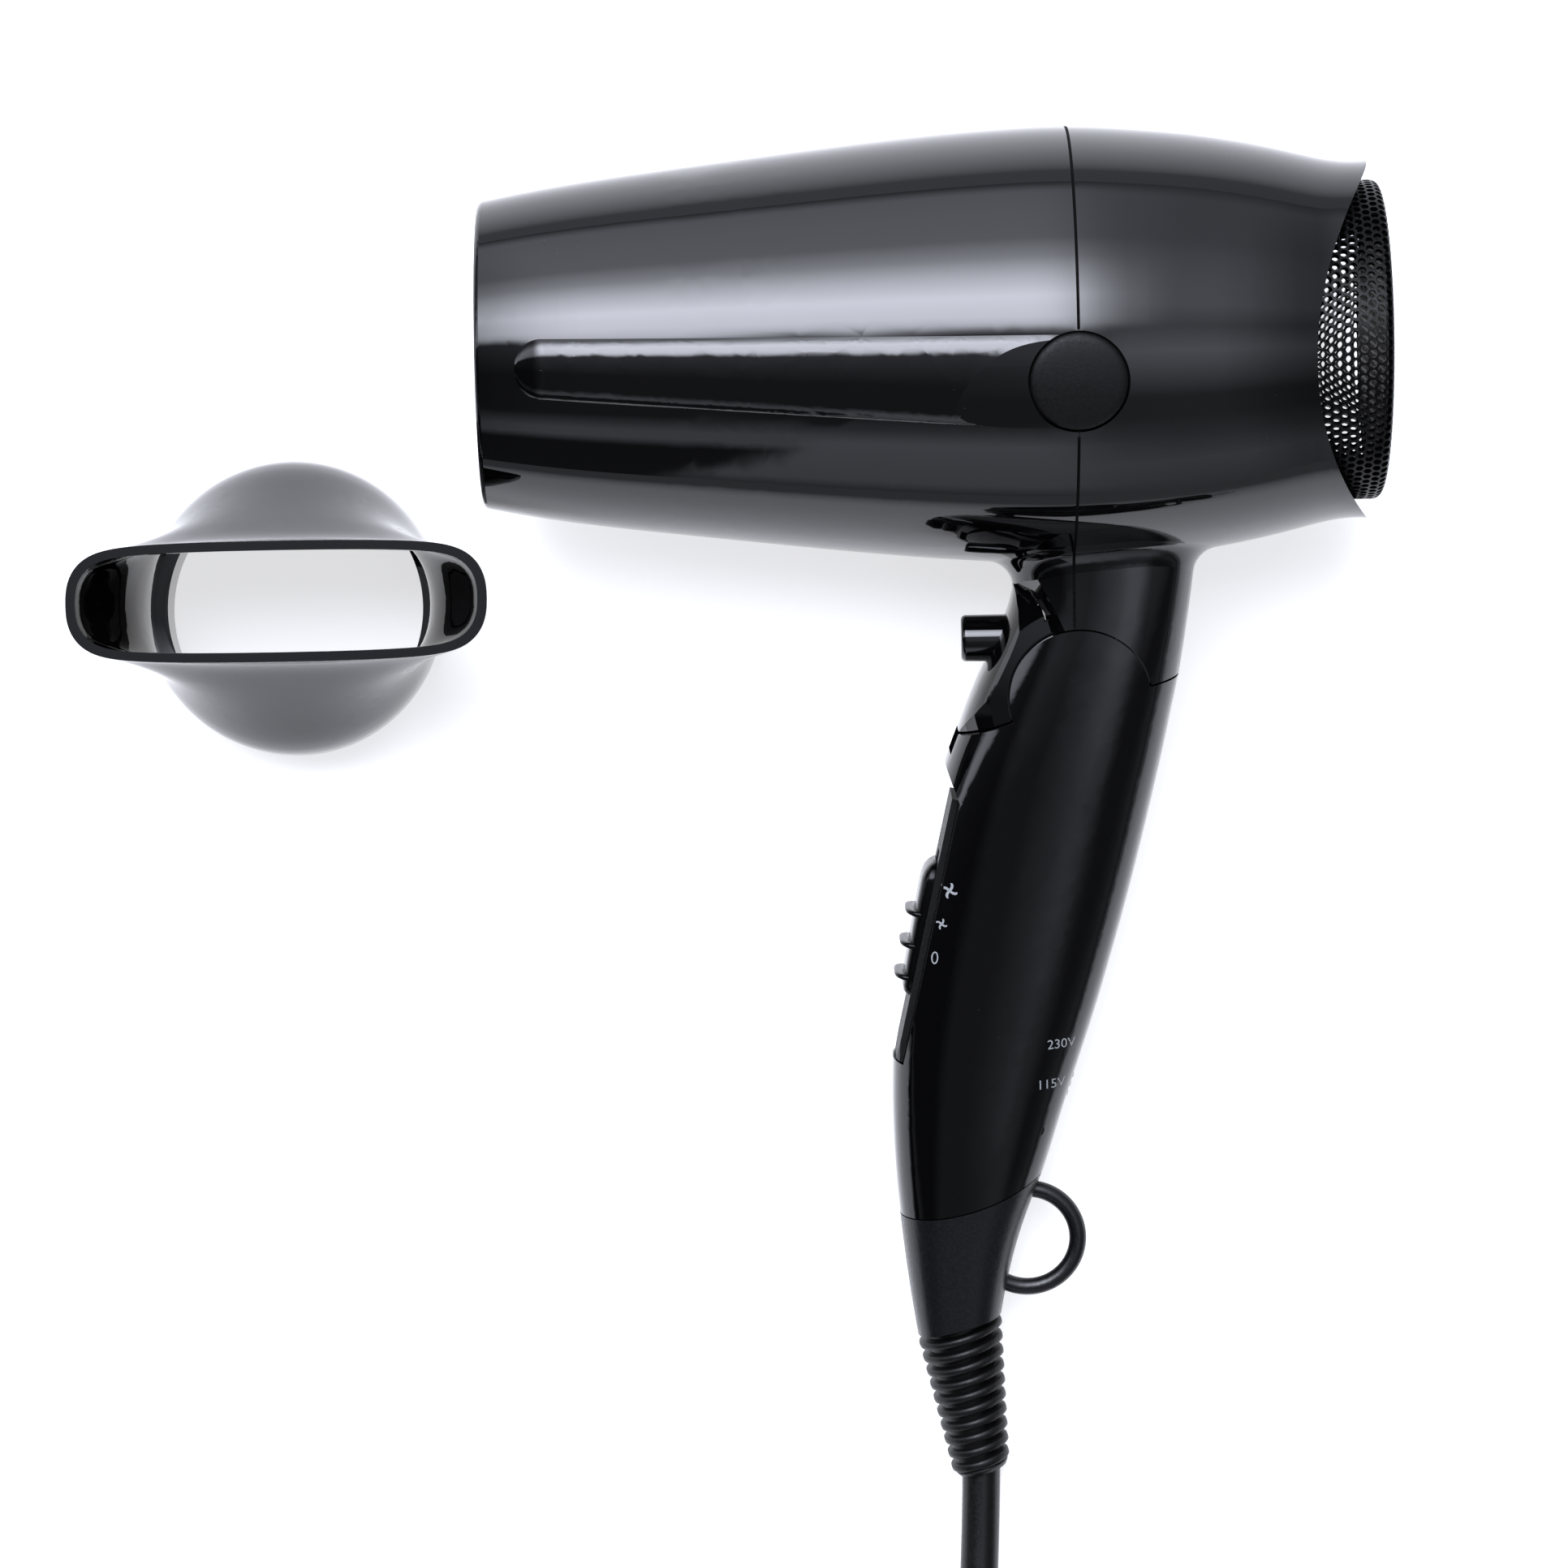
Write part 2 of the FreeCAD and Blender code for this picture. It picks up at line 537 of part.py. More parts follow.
def slider():
    """The power slider: a low thumb pad with three ridges, and a stem that works the switch."""
    outline = [(-26.9, 0.15), (-26.9, 1.2), (-25.2, 2.0), (-24.6, 3.0), (-22.8, 3.0), (-22.0, 2.0),
               (-19.4, 2.1), (-18.7, 3.3), (-16.9, 3.3), (-16.1, 2.2), (-13.4, 2.3), (-12.7, 3.5),
               (-10.9, 3.5), (-10.1, 2.4), (-3.4, 2.45), (-1.9, 1.3), (-1.9, 0.15)]
    points = [on_line(TRACK_FOOT, TRACK_UP, TRACK_OUT, a, b) for a, b in outline]
    pad = prism(points, size("slider_half"))
    stem = track_block(STEM, (-7.0, 0.4), 2.1)
    return pad.fuse(stem).removeSplitter()


def switch_plate():
    """The inlay in the bottom of the slider's recess, with a slot for the stem."""
    plate = track_block((RECESS_LOW + 0.15, RECESS_HIGH - 0.15), (-1.2, 0.0), size("slider_half") + 0.5)
    slot = track_block((STEM[0] - 0.4, STEM[1] + size("slider_travel") + 0.4), (-6.0, 1.0), 2.3)
    return plate.cut(slot).common(grip(0.25, 3))


def switch_module():
    """The power switch, grooved for the slider's stem."""
    block = track_block((-26.0, 8.0), (-13.0, -4.2), 7.5)
    groove = track_block((STEM[0] - 0.4, STEM[1] + size("slider_travel") + 0.4), (-7.4, 0.0), 2.3)
    return block.cut(groove)


def selector():
    """The voltage selector: a small ribbed slider sunk into the back of the handle."""
    block = track_block(SELECTOR, (-1.6, -0.5), 4.1, True)
    ribs = [track_block((along, along + 0.8), (-0.6, 0.0), 3.4, True) for along in (-5.4, -3.7, -2.0)]
    stem = track_block((-4.5, -2.3), (-5.6, -1.5), 1.6, True)
    return block.fuse(ribs + [stem]).removeSplitter()


def voltage_module():
    """The voltage switch behind the selector."""
    block = track_block((-8.0, 8.0), (-10.5, -4.2), 5.8, True)
    groove = track_block((-4.8, -2.0 + SELECTOR_TRAVEL), (-6.0, 1.0), 1.8, True)
    return block.cut(groove)


def end_cap():
    """The handle's end cap: a shell with a slanted foot, a lip that enters the handle, and the hang loop."""
    foot_low = [(-60.0, -188.65), (30.0, -165.25)]
    floor = prism([foot_low[0], foot_low[1], (30.0, -FAR), (-60.0, -FAR)], 60.0)
    inner_floor = prism([(x, y + 2.4) for x, y in foot_low] + [(30.0, -FAR), (-60.0, -FAR)], 60.0)
    body = grip(0.0, 10).common(below_cap_seam(-0.25)).cut(floor)
    ring_centre = V(-8.9, -163.5, 0)
    ring = Part.makeTorus(size("loop_radius"), size("loop_wire"), ring_centre)
    body = body.fuse(ring.cut(grip(1.5, 10)))
    hollow = grip(2.0, 10).cut(inner_floor)
    lip = grip(2.15, 10).common(below_cap_seam(3.2)).cut(below_cap_seam(-0.25))
    root = grip(1.8, 10).common(below_cap_seam(-0.25)).cut(below_cap_seam(-2.4))
    lip = lip.fuse(root).cut(grip(3.5, 10))
    hole = rod(V(-22.6, -171.0, 0), V(-20.9, -186.0, 0), 6.1)
    return body.cut(hollow).fuse(lip).cut(hole)


def cord_guard():
    """The ribbed strain relief: a tapering core with slanted rings, moulded round the cord."""
    start = V(-21.4, -180.9, 0)
    end = V(-18.1, -205.0, 0)
    tilt = V(0.285, -0.9585, 0)
    axis = (end - start) / (end - start).Length
    core = Part.makeCone(5.9, 4.6, (end - start).Length + 9.0, start - 9.0 * axis, axis)
    flange = Part.makeCylinder(7.7, 1.4, V(-22.5, -173.6, 0), V(0.14, -0.99, 0)).common(grip(2.2, 10))
    rings = []
    count = int(size("guard_rings"))
    for index in range(count):
        share = index / (count - 1.0)
        middle = start + share * (end - start)
        radius = size("guard_start_radius") + share * (size("guard_end_radius") - size("guard_start_radius"))
        rings.append(Part.makeCylinder(radius, 1.45, middle - 0.72 * tilt, tilt))
    rings[-1] = rings[-1].fuse(Part.makeCone(5.2, 4.4, 1.6, end, tilt))
    return core.fuse(rings + [flange])


feature("handle_screws", handle_screws())
feature("power_slider", slider())
feature("switch_plate", switch_plate())
feature("switch_module", switch_module())
feature("voltage_selector", selector())
feature("voltage_module", voltage_module())
feature("end_cap", end_cap())
feature("cord_guard", cord_guard())
capacitor = padded_ring("capacitor_can", "XY_Plane", None, "5.0 mm", "15.0 mm", V(-9.5, -111.0, 0), True)
keep(capacitor, "capacitor")


# ---------------------------------------------------------------- air path inside the barrel

HEATER_TURNS = 14
HEATER_START = -86.0
HEATER_PITCH = 3.4
HEATER_RADIUS = 20.0
VANES = 8


def cross_board(front, back, half, thick):
    """Two crossed mica boards along the barrel's axis."""
    flat = box((front, back), (-half, half), (-thick, thick))
    upright = box((front, back), (-thick, thick), (-half, half))
    return flat.fuse(upright).removeSplitter()


def winding_rings(thickness):
    """The heater's windings: evenly spaced rings round the mica boards."""
    rings = []
    for index in range(HEATER_TURNS):
        place = V(HEATER_START + index * HEATER_PITCH, 0, 0)
        rings.append(Part.makeTorus(HEATER_RADIUS, thickness, place, X_AXIS))
    return rings


def wall_ring(x_range, outer, inner):
    """A flat ring about the barrel's axis."""
    start = V(x_range[0], 0, 0)
    end = V(x_range[1], 0, 0)
    return rod(start, end, outer).cut(rod(start - X_AXIS, end + X_AXIS, inner))


def motor_mount():
    """The motor's holder: two rings joined by straightening vanes."""
    body = wall_ring((-27.0, -7.0), 34.4, 32.6)
    body = body.fuse(wall_ring((-29.0, -7.0), 16.2, size("motor_radius")))
    for index in range(VANES):
        vane = box((-25.0, -8.0), (15.0, 33.5), (-0.7, 0.7))
        vane.rotate(V(), X_AXIS, index * 360.0 / VANES + 12.0)
        body = body.fuse(vane)
    return body


def fan_impeller():
    """The fan: a domed hub with twisted blades."""
    start = size("fan_start")
    end = start + size("fan_depth")
    hub = rod(V(start, 0, 0), V(end, 0, 0), size("hub_fan_radius"))
    nose = Part.makeCone(size("hub_fan_radius"), 6.0, 5.0, V(end, 0, 0), X_AXIS)
    body = hub.fuse(nose)
    count = int(size("fan_blades"))
    for index in range(count):
        blade = box((-8.6, 8.6), (12.0, size("fan_radius")), (-0.6, 0.6))
        blade.rotate(V(), Y_AXIS, 38.0)
        blade.translate(V(0.5 * (start + end), 0, 0))
        blade.rotate(V(), X_AXIS, index * 360.0 / count)
        body = body.fuse(blade)
    limits = wall_ring((start, end + 5.0), size("fan_radius"), 0.01)
    return biggest(body.common(limits).cut(rod(V(0, 0, 0), V(40.0, 0, 0), size("shaft_radius"))))


def hexagon_spots(pitch, limit):
    """The centres of a hexagonal pattern within a circle."""
    reach = int(limit / pitch) + 2
    spots = []
    for row in range(-reach, reach + 1):
        for column in range(-reach, reach + 1):
            y = (column + 0.5 * (row % 2)) * pitch
            z = row * pitch * math.sqrt(3.0) / 2.0
            if math.hypot(y, z) < limit:
                spots.append((y, z))
    return spots


def inlet_grille():
    """The air inlet: a perforated cup on a flange inside the rear rim."""
    radius = size("grille_radius")
    wall = size("grille_wall")
    root = size("grille_root")
    end = size("grille_end")
    cup = rod(V(root, 0, 0), V(end, 0, 0), radius)
    cup = cup.makeFillet(1.6, [edge for edge in cup.Edges if edge.BoundBox.XMin > end - 0.01])
    cup = cup.cut(rod(V(root - 1.0, 0, 0), V(end - wall, 0, 0), radius - wall))
    flange = wall_ring((root, root + 1.4), 33.4, radius - wall)
    holes = [rod(V(end - 3.0, y, z), V(end + 1.0, y, z), 1.55)
             for y, z in hexagon_spots(4.2, radius - wall - 2.0)]
    for level in (34.0, 38.4, 42.8, 47.2, 51.4):
        for index in range(30):
            turn = 2.0 * math.pi * index / 30
            out = V(0, math.cos(turn), math.sin(turn))
            holes.append(rod(V(level, 0, 0) + (radius - 4.0) * out,
                             V(level, 0, 0) + (radius + 1.0) * out, 1.5))
    return cup.fuse(flange).cut(Part.makeCompound(holes))


def outlet_grille():
    """The guard in front of the heater: three rings on four bars."""
    back = (-94.4, -93.2)
    body = wall_ring(back, 26.6, 24.4)
    for radius in (8.0, 16.5):
        body = body.fuse(wall_ring(back, radius + 0.8, radius - 0.8))
    for turn in (45.0, 135.0):
        bar = box(back, (-25.5, 25.5), (-0.8, 0.8))
        bar.rotate(V(), X_AXIS, turn)
        body = body.fuse(bar)
    return body


boards = cross_board(-90.0, -40.0, 23.2, 0.35).cut(Part.makeCompound(winding_rings(0.62)))
feature("outlet_grille", outlet_grille())
feature("mica_boards", boards)
feature("heater_windings", Part.makeCompound(winding_rings(0.5)))
sleeve = padded_ring("sleeve", "YZ_Plane", "sheet.sleeve_radius - sheet.sleeve_wall", "sheet.sleeve_radius",
                     "sheet.sleeve_front - sheet.sleeve_back", V(-size("sleeve_front"), 0, 0))
keep(sleeve, "mica_sleeve")
feature("heater_support", wall_ring((-41.0, -37.5), 33.6, size("sleeve_radius")))
feature("thermostat", box((-50.0, -43.0), (4.0, 12.0), (0.4, 5.4)))
feature("thermal_fuse", rod(V(-56.0, -9.0, -2.0), V(-46.0, -9.0, -2.0), 1.5))
motor_back = V(-size("motor_back") - size("motor_length"), 0, 0)
can = cylinder("can", "sheet.motor_radius", "sheet.motor_length", motor_back, X_AXIS)
can_bore = cylinder("can_bore", "sheet.shaft_radius + sheet.shaft_fit", "sheet.motor_length",
                    motor_back + 3.0 * X_AXIS, X_AXIS)
keep(cut("motor_housing", can, can_bore), "motor_can")
feature("motor_mount", motor_mount())
board = padded_ring("board", "YZ_Plane", None, "12.0 mm", "1.6 mm", motor_back - 3.4 * X_AXIS)
keep(board, "rectifier_board")
shaft = cylinder("shaft", "sheet.shaft_radius", "46 mm", motor_back + 4.0 * X_AXIS, X_AXIS)
keep(shaft, "motor_shaft")
feature("fan_impeller", fan_impeller())
feature("inlet_grille", inlet_grille())


# ---------------------------------------------------------------- button, switch, screws, clamp

def button():
    """The cool-shot button: a round key with a softened face and a stem towards its switch."""
    height = size("button_y")
    front_end = V(size("button_front"), height, 0)
    back_end = V(size("button_back"), height, 0)
    key = rod(front_end, back_end, size("button_radius"))
    key = key.makeFillet(0.9, [edge for edge in key.Edges if edge.BoundBox.XMax < front_end.x + 0.01])
    return key.fuse(rod(back_end, back_end + 3.0 * X_AXIS, 1.1))


feature("cool_shot_button", button())
feature("cool_shot_switch", box((-6.0, 0.5), (size("button_y") - 1.8, size("button_y") + 2.7), (-5.0, 5.0)))

screws = []
for side in (1, -1):
    screw_foot = V(0, -size("cap_drop"), side * 24.5)
    screw_shank = Part.makeCylinder(1.5, 11.5, screw_foot, V(0, 0, side))
    screws.append(screw_shank)
feature("housing_screws", Part.makeCompound(screws))

# the cord's last stretch inside the end cap, and the clamp that holds it
INNER_CORD = (V(-23.956, -156.16, 0), V(-22.461, -170.46, 0))
along_cord = (INNER_CORD[1] - INNER_CORD[0]) / (INNER_CORD[1] - INNER_CORD[0]).Length
clamp = box((-28.0, -17.0), (-170.0, -164.5), (-6.0, 6.0))
clamp_hole = rod(INNER_CORD[0] - 5.0 * along_cord, INNER_CORD[1] + 5.0 * along_cord,
                 size("cord_radius") + 0.03)
feature("cord_clamp", clamp.common(grip(2.1, 10)).cut(clamp_hole))
feature("cord_inner_end", rod(INNER_CORD[0], INNER_CORD[1], size("cord_radius")))

# pairs of wires: from the cord to the power switch, and from the voltage switch to the power switch
WIRE_ENDS = [((-24.0, -155.6), (-21.5, -118.6)), ((-5.6, -119.6), (-16.2, -116.8))]
WIRE_RADIUS = 0.9
wires = []
for start, end in WIRE_ENDS:
    for level in (-2.2, 2.2):
        wires.append(rod(V(start[0], start[1], level), V(end[0], end[1], level), WIRE_RADIUS))
feature("handle_wires", Part.makeCompound(wires))


# ---------------------------------------------------------------- concentrator nozzle

# share of the height above the spigot, then how far the section has changed from the round skirt to the
# slot: across the slot, where it narrows early, and along it, where it widens late
NOZZLE_LEVELS = [(0.0, 0.0, 0.0), (0.1, 0.01, 0.0), (0.22, 0.07, 0.0), (0.4, 0.30, 0.03), (0.58, 0.56, 0.16),
                 (0.74, 0.78, 0.45), (0.88, 0.95, 0.84), (1.0, 1.0, 1.0)]
NOZZLE_POINTS = 48


def nozzle_section(share, across, along, inset, foot):
    """One level of the nozzle, between its round skirt and its slot."""
    top = size("nozzle_height")
    level = foot + share * (top - foot)
    end_radius = 0.5 * size("slot_width") - inset
    straight = 0.5 * (size("slot_length") - size("slot_width"))
    skirt = size("skirt_radius") - inset
    points = []
    for index in range(NOZZLE_POINTS):
        turn = 2.0 * math.pi * index / NOZZLE_POINTS
        cosine = math.cos(turn)
        sine = math.sin(turn)
        shift = straight * math.tanh(3.2 * cosine) / math.tanh(3.2)
        x = (1.0 - along) * skirt * cosine + along * (shift + end_radius * cosine)
        y = (1.0 - across) * skirt * sine + across * end_radius * math.copysign(abs(sine) ** 0.8, sine)
        points.append(V(x, y, level))
    curve = Part.BSplineCurve()
    curve.interpolate(points, PeriodicFlag=True)
    return Part.Wire([curve.toShape()])


def nozzle():
    """The nozzle standing on its spigot, slot upwards."""
    foot = size("spigot_height")
    wall = size("nozzle_wall")
    outer = Part.makeLoft([nozzle_section(*level, 0.0, foot) for level in NOZZLE_LEVELS], True, False)
    inner = Part.makeLoft([nozzle_section(*level, wall, foot) for level in NOZZLE_LEVELS], True, False)
    spigot = Part.makeCylinder(size("spigot_radius"), foot + 2.0)
    bore = Part.makeCylinder(size("spigot_radius") - 1.3, foot + 1.0, V(0, 0, -0.5))
    tip = Part.makeCylinder(size("spigot_radius") - 1.3, 4.0, V(0, 0, foot - 1.0))
    step = Part.makeCylinder(size("skirt_radius") - 1.0, wall, V(0, 0, foot))
    shell = outer.cut(inner).fuse([spigot.cut(bore), step]).cut(tip)
    shell.translate(V(size("nozzle_x"), size("nozzle_y"), 0))
    return shell


feature("nozzle_shell", nozzle(), False)


# ---------------------------------------------------------------- cord, coil and plug

# the route of the cord where it is not coiled: from the guard's end to the coil, and from there to the plug
LEAD_ROUTE = [(43.5, -119.6, 5.3), (43.2, -131.0, 4.3), (42.4, -147.0, 3.7), (42.7, -166.0, 3.8)]
TAIL_ROUTE = [(97.0, -230.4, 14.0), (108.0, -231.2, 12.2), (120.0, -231.6, 10.2)]
PLUG_STATIONS = [(0.0, 5.0, 5.0), (9.0, 6.5, 6.2), (16.0, 11.0, 7.8), (23.0, 16.0, 8.8), (34.0, 17.8, 9.2),
                 (37.0, 17.4, 9.0)]


def route_tube(route, radius):
    """A round tube along a route: straight runs joined by tangent arcs as large as the runs allow."""
    points = [V(*point) for point in route]
    edges = []
    here = points[0]
    for before, corner, after in zip(points, points[1:], points[2:]):
        enter = (corner - before) / (corner - before).Length
        leave = (after - corner) / (after - corner).Length
        turn = enter.getAngle(leave)
        run = min((corner - before).Length, (after - corner).Length)
        back = 0.45 * run
        print("arc radius", round(back / math.tan(0.5 * turn), 1))
        first = corner - back * enter
        last = corner + back * leave
        arc_radius = back / math.tan(0.5 * turn)
        inward = (leave - enter) / (leave - enter).Length
        middle = corner + inward * (arc_radius / math.cos(0.5 * turn) - arc_radius)
        edges.append(Part.makeLine(here, first))
        edges.append(Part.Arc(first, middle, last).toShape())
        here = last
    edges.append(Part.makeLine(here, points[-1]))
    path = Part.Wire(edges)
    section = Part.Wire([Part.makeCircle(radius, points[0], points[1] - points[0])])
    tube = path.makePipeShell([section], True, False)
    expected = math.pi * radius * radius * path.Length
    print("tube length", round(path.Length, 1), "volume share", round(tube.Volume / expected, 4))
    return tube


def plug():
    """A moulded two-pin plug: a soft-edged body that widens from the cord to its face."""
    start = V(*TAIL_ROUTE[-1])
    wires = []
    for along, half_wide, half_high in PLUG_STATIONS:
        points = []
        for index in range(SECTION_POINTS):
            turn = 2.0 * math.pi * index / SECTION_POINTS
            y = half_wide * math.copysign(abs(math.cos(turn)) ** 0.8, math.cos(turn))
            z = half_high * math.copysign(abs(math.sin(turn)) ** 0.8, math.sin(turn))
            points.append(start + V(along, y, z))
        curve = Part.BSplineCurve()
        curve.interpolate(points, PeriodicFlag=True)
        wires.append(Part.Wire([curve.toShape()]))
    return Part.makeLoft(wires, True, False)


def plug_pins():
    """The two round pins, with their ends softened."""
    face = V(*TAIL_ROUTE[-1]) + V(PLUG_STATIONS[-1][0], 0, 0)
    pins = []
    for side in (1, -1):
        foot = face + V(0, side * 0.5 * size("pin_spacing"), 0)
        stud = rod(foot, foot + size("pin_length") * X_AXIS, size("pin_stud_radius"))
        stud = stud.makeFillet(1.2, [edge for edge in stud.Edges if edge.BoundBox.XMin > foot.x + 5.0])
        pins.append(stud)
    return Part.makeCompound(pins)


def coil():
    """The outer shape of the coiled cord, a fat ring."""
    place = V(size("coil_x"), size("coil_y"), 0.8)
    high = size("coil_height") - 0.8
    ring = Part.makeCylinder(size("coil_outer"), high, place)
    ring = ring.cut(Part.makeCylinder(size("coil_inner"), 3.0 * high, place - V(0, 0, high)))
    return ring.makeFillet(3.0, ring.Edges)


def coil_tie():
    """A strap round the coil's section on its far side."""
    middle = size("coil_x") + 0.5 * (size("coil_inner") + size("coil_outer"))
    half = 0.5 * (size("coil_outer") - size("coil_inner")) + 1.6
    place_y = size("coil_y")
    band = box((middle - half, middle + half), (place_y - 5.0, place_y + 5.0),
               (0.0, size("coil_height") + 0.8))
    return band.cut(box((middle - half + 0.8, middle + half - 0.8), (place_y - 8.0, place_y + 8.0),
                        (0.8, size("coil_height"))))


feature("cord_lead", route_tube(LEAD_ROUTE, size("cord_radius")), False)
feature("cord_coil", coil(), False)
feature("cord_tail", route_tube(TAIL_ROUTE, size("cord_radius")), False)
feature("cord_tie", coil_tie(), False)
feature("plug_body", plug(), False)
feature("plug_pins", plug_pins(), False)


def export():
    """Check every sub-part, and write each one to its own file."""
    doc.recompute()
    for obj in doc.Objects:
        bad = [state for state in obj.State if state in ("Invalid", "Error")]
        if bad:
            raise RuntimeError("%s is %s" % (obj.Label, bad))
    os.makedirs("parts", exist_ok=True)
    for node, obj in subparts.items():
        shape = obj.Shape
        if shape.isNull() or not shape.isValid() or shape.Volume <= 0:
            raise RuntimeError("%s has no valid shape" % node)
        shape.exportStep("parts/%s.step" % node)
        print("%-20s %9.1f mm3 %d solids" % (node, shape.Volume, len(shape.Solids)))


export()
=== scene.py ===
"""The folding travel hair dryer and its concentrator nozzle, dressed for rendering.

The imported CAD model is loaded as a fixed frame. The camera and the floor are set in metres. The shapes are
set in millimetres: the cord, its tie and its plug in the frame's own coordinates, and all else in the dryer's
own frame, as in the CAD. That has its origin where the barrel's axis meets the joint between the housings,
X back along the barrel, Y from the handle up, Z across.
"""

import math

import bmesh
import bpy
from mathutils import Matrix, Vector


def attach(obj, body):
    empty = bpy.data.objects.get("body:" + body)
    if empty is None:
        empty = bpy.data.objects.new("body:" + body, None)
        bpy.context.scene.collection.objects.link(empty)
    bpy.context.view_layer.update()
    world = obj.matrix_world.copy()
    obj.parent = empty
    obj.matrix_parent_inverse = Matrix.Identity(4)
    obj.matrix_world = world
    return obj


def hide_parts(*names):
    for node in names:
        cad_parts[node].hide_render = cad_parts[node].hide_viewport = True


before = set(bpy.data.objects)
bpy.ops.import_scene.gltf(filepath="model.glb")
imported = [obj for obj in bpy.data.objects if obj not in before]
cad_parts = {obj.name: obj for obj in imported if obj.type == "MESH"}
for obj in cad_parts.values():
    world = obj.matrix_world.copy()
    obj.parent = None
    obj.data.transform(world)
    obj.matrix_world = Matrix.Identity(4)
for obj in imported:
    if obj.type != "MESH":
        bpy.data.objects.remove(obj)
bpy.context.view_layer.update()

MM = 0.001
SEAM = Vector((61.355, 83.15, 39.114)) * MM
LAY_ANGLE = math.radians(9.427)
LAY = Matrix.Translation(SEAM) @ Matrix.Rotation(LAY_ANGLE, 4, "X")


def place(x_mm, y_mm, z_mm):
    """A point of the dryer's own frame, in the frame's coordinates."""
    return LAY @ Vector((x_mm * MM, y_mm * MM, z_mm * MM))


# ---------------------------------------------------------------- camera

CAMERA_HEIGHT = 1.050
CAMERA_CENTRE = (0.00936, 0.00573)
CAMERA_ROLL = math.radians(-1.05)

camera_data = bpy.data.cameras.new("view_camera")
camera_data.sensor_width = 36.0
camera_data.lens = 130.04
camera = bpy.data.objects.new("view_camera", camera_data)
camera.location = (CAMERA_CENTRE[0], CAMERA_CENTRE[1], CAMERA_HEIGHT)
camera.rotation_euler = (0.0, 0.0, CAMERA_ROLL)
bpy.context.collection.objects.link(camera)
bpy.context.scene.camera = camera
bpy.context.scene.view_settings.view_transform = "Standard"


# ---------------------------------------------------------------- small helpers

def new_object(name, mesh_or_curve):
    """An object in the scene for a mesh or curve."""
    obj = bpy.data.objects.new(name, mesh_or_curve)
    bpy.context.collection.objects.link(obj)
    return obj


def mesh_object(name, bm, smooth=True):
    """An object made from a bmesh, which is freed."""
    bm.normal_update()
    mesh = bpy.data.meshes.new(name)
    bm.to_mesh(mesh)
    bm.free()
    for polygon in mesh.polygons:
        polygon.use_smooth = smooth
    return new_object(name, mesh)


def shade_by_angle(obj, degrees):
    """Smooth shading with sharp edges where faces meet at more than the angle."""
    limit = math.radians(degrees)
    bm = bmesh.new()
    bm.from_mesh(obj.data)
    for edge in bm.edges:
        if len(edge.link_faces) == 2:
            edge.smooth = edge.calc_face_angle(0.0) < limit
    bm.to_mesh(obj.data)
    bm.free()


def dress(obj, material):
    """Give an object one material."""
    obj.data.materials.clear()
    obj.data.materials.append(material)


def join_rings(bm, rows, wrap=False):
    """Faces between rings of vertices that follow each other, and from the last to the first if wrapped."""
    count = len(rows[0])
    for low, high in zip(rows, rows[1:] + (rows[:1] if wrap else [])):
        for index in range(count):
            after = (index + 1) % count
            bm.faces.new((low[index], low[after], high[after], high[index]))


def close_ends(bm, rows):
    """A face over the first ring and one over the last."""
    bm.faces.new(list(reversed(rows[0])))
    bm.faces.new(rows[-1])


# ---------------------------------------------------------------- materials

class Shader:
    """A principled material that is put together node by node."""

    def __init__(self, name, color, roughness, **inputs):
        self.material = bpy.data.materials.new(name)
        self.material.use_nodes = True
        self.tree = self.material.node_tree
        self.main = self.tree.nodes["Principled BSDF"]
        self.main.inputs["Base Color"].default_value = (*color, 1.0)
        self.main.inputs["Roughness"].default_value = roughness
        for key, value in inputs.items():
            self.main.inputs[key.replace("_", " ")].default_value = value
        self.where = self.node("ShaderNodeTexCoord").outputs["Object"]

    def node(self, kind, **settings):
        """A new node with its settings."""
        node = self.tree.nodes.new(kind)
        for key, value in settings.items():
            setattr(node, key, value)
        return node

    def link(self, source, target):
        """Join two sockets."""
        self.tree.links.new(source, target)

    def noise(self, scale, detail=3.0):
        """The grey value of a noise texture."""
        node = self.node("ShaderNodeTexNoise")
        node.inputs["Scale"].default_value = scale
        node.inputs["Detail"].default_value = detail
        self.link(self.where, node.inputs["Vector"])
        return node.outputs["Fac"]

    def spread(self, value, low, high, start=0.35, stop=0.65):
        """A grey value spread over a range."""
        node = self.node("ShaderNodeMapRange")
        node.inputs["From Min"].default_value = start
        node.inputs["From Max"].default_value = stop
        node.inputs["To Min"].default_value = low
        node.inputs["To Max"].default_value = high
        self.link(value, node.inputs["Value"])
        return node.outputs["Result"]

    def tint(self, value, low, high):
        """A colour between two, into the base colour."""
        node = self.node("ShaderNodeMix", data_type="RGBA")
        node.inputs["A"].default_value = (*low, 1.0)
        node.inputs["B"].default_value = (*high, 1.0)
        self.link(value, node.inputs["Factor"])
        self.link(node.outputs["Result"], self.main.inputs["Base Color"])

    def polish(self, value, low, high):
        """A grey value into the roughness."""
        self.link(self.spread(value, low, high), self.main.inputs["Roughness"])

    def bump(self, value, distance):
        """A grey value into a bump of so many metres."""
        node = self.node("ShaderNodeBump")
        node.inputs["Strength"].default_value = 1.0
        node.inputs["Distance"].default_value = distance
        self.link(value, node.inputs["Height"])
        self.link(node.outputs["Normal"], self.main.inputs["Normal"])


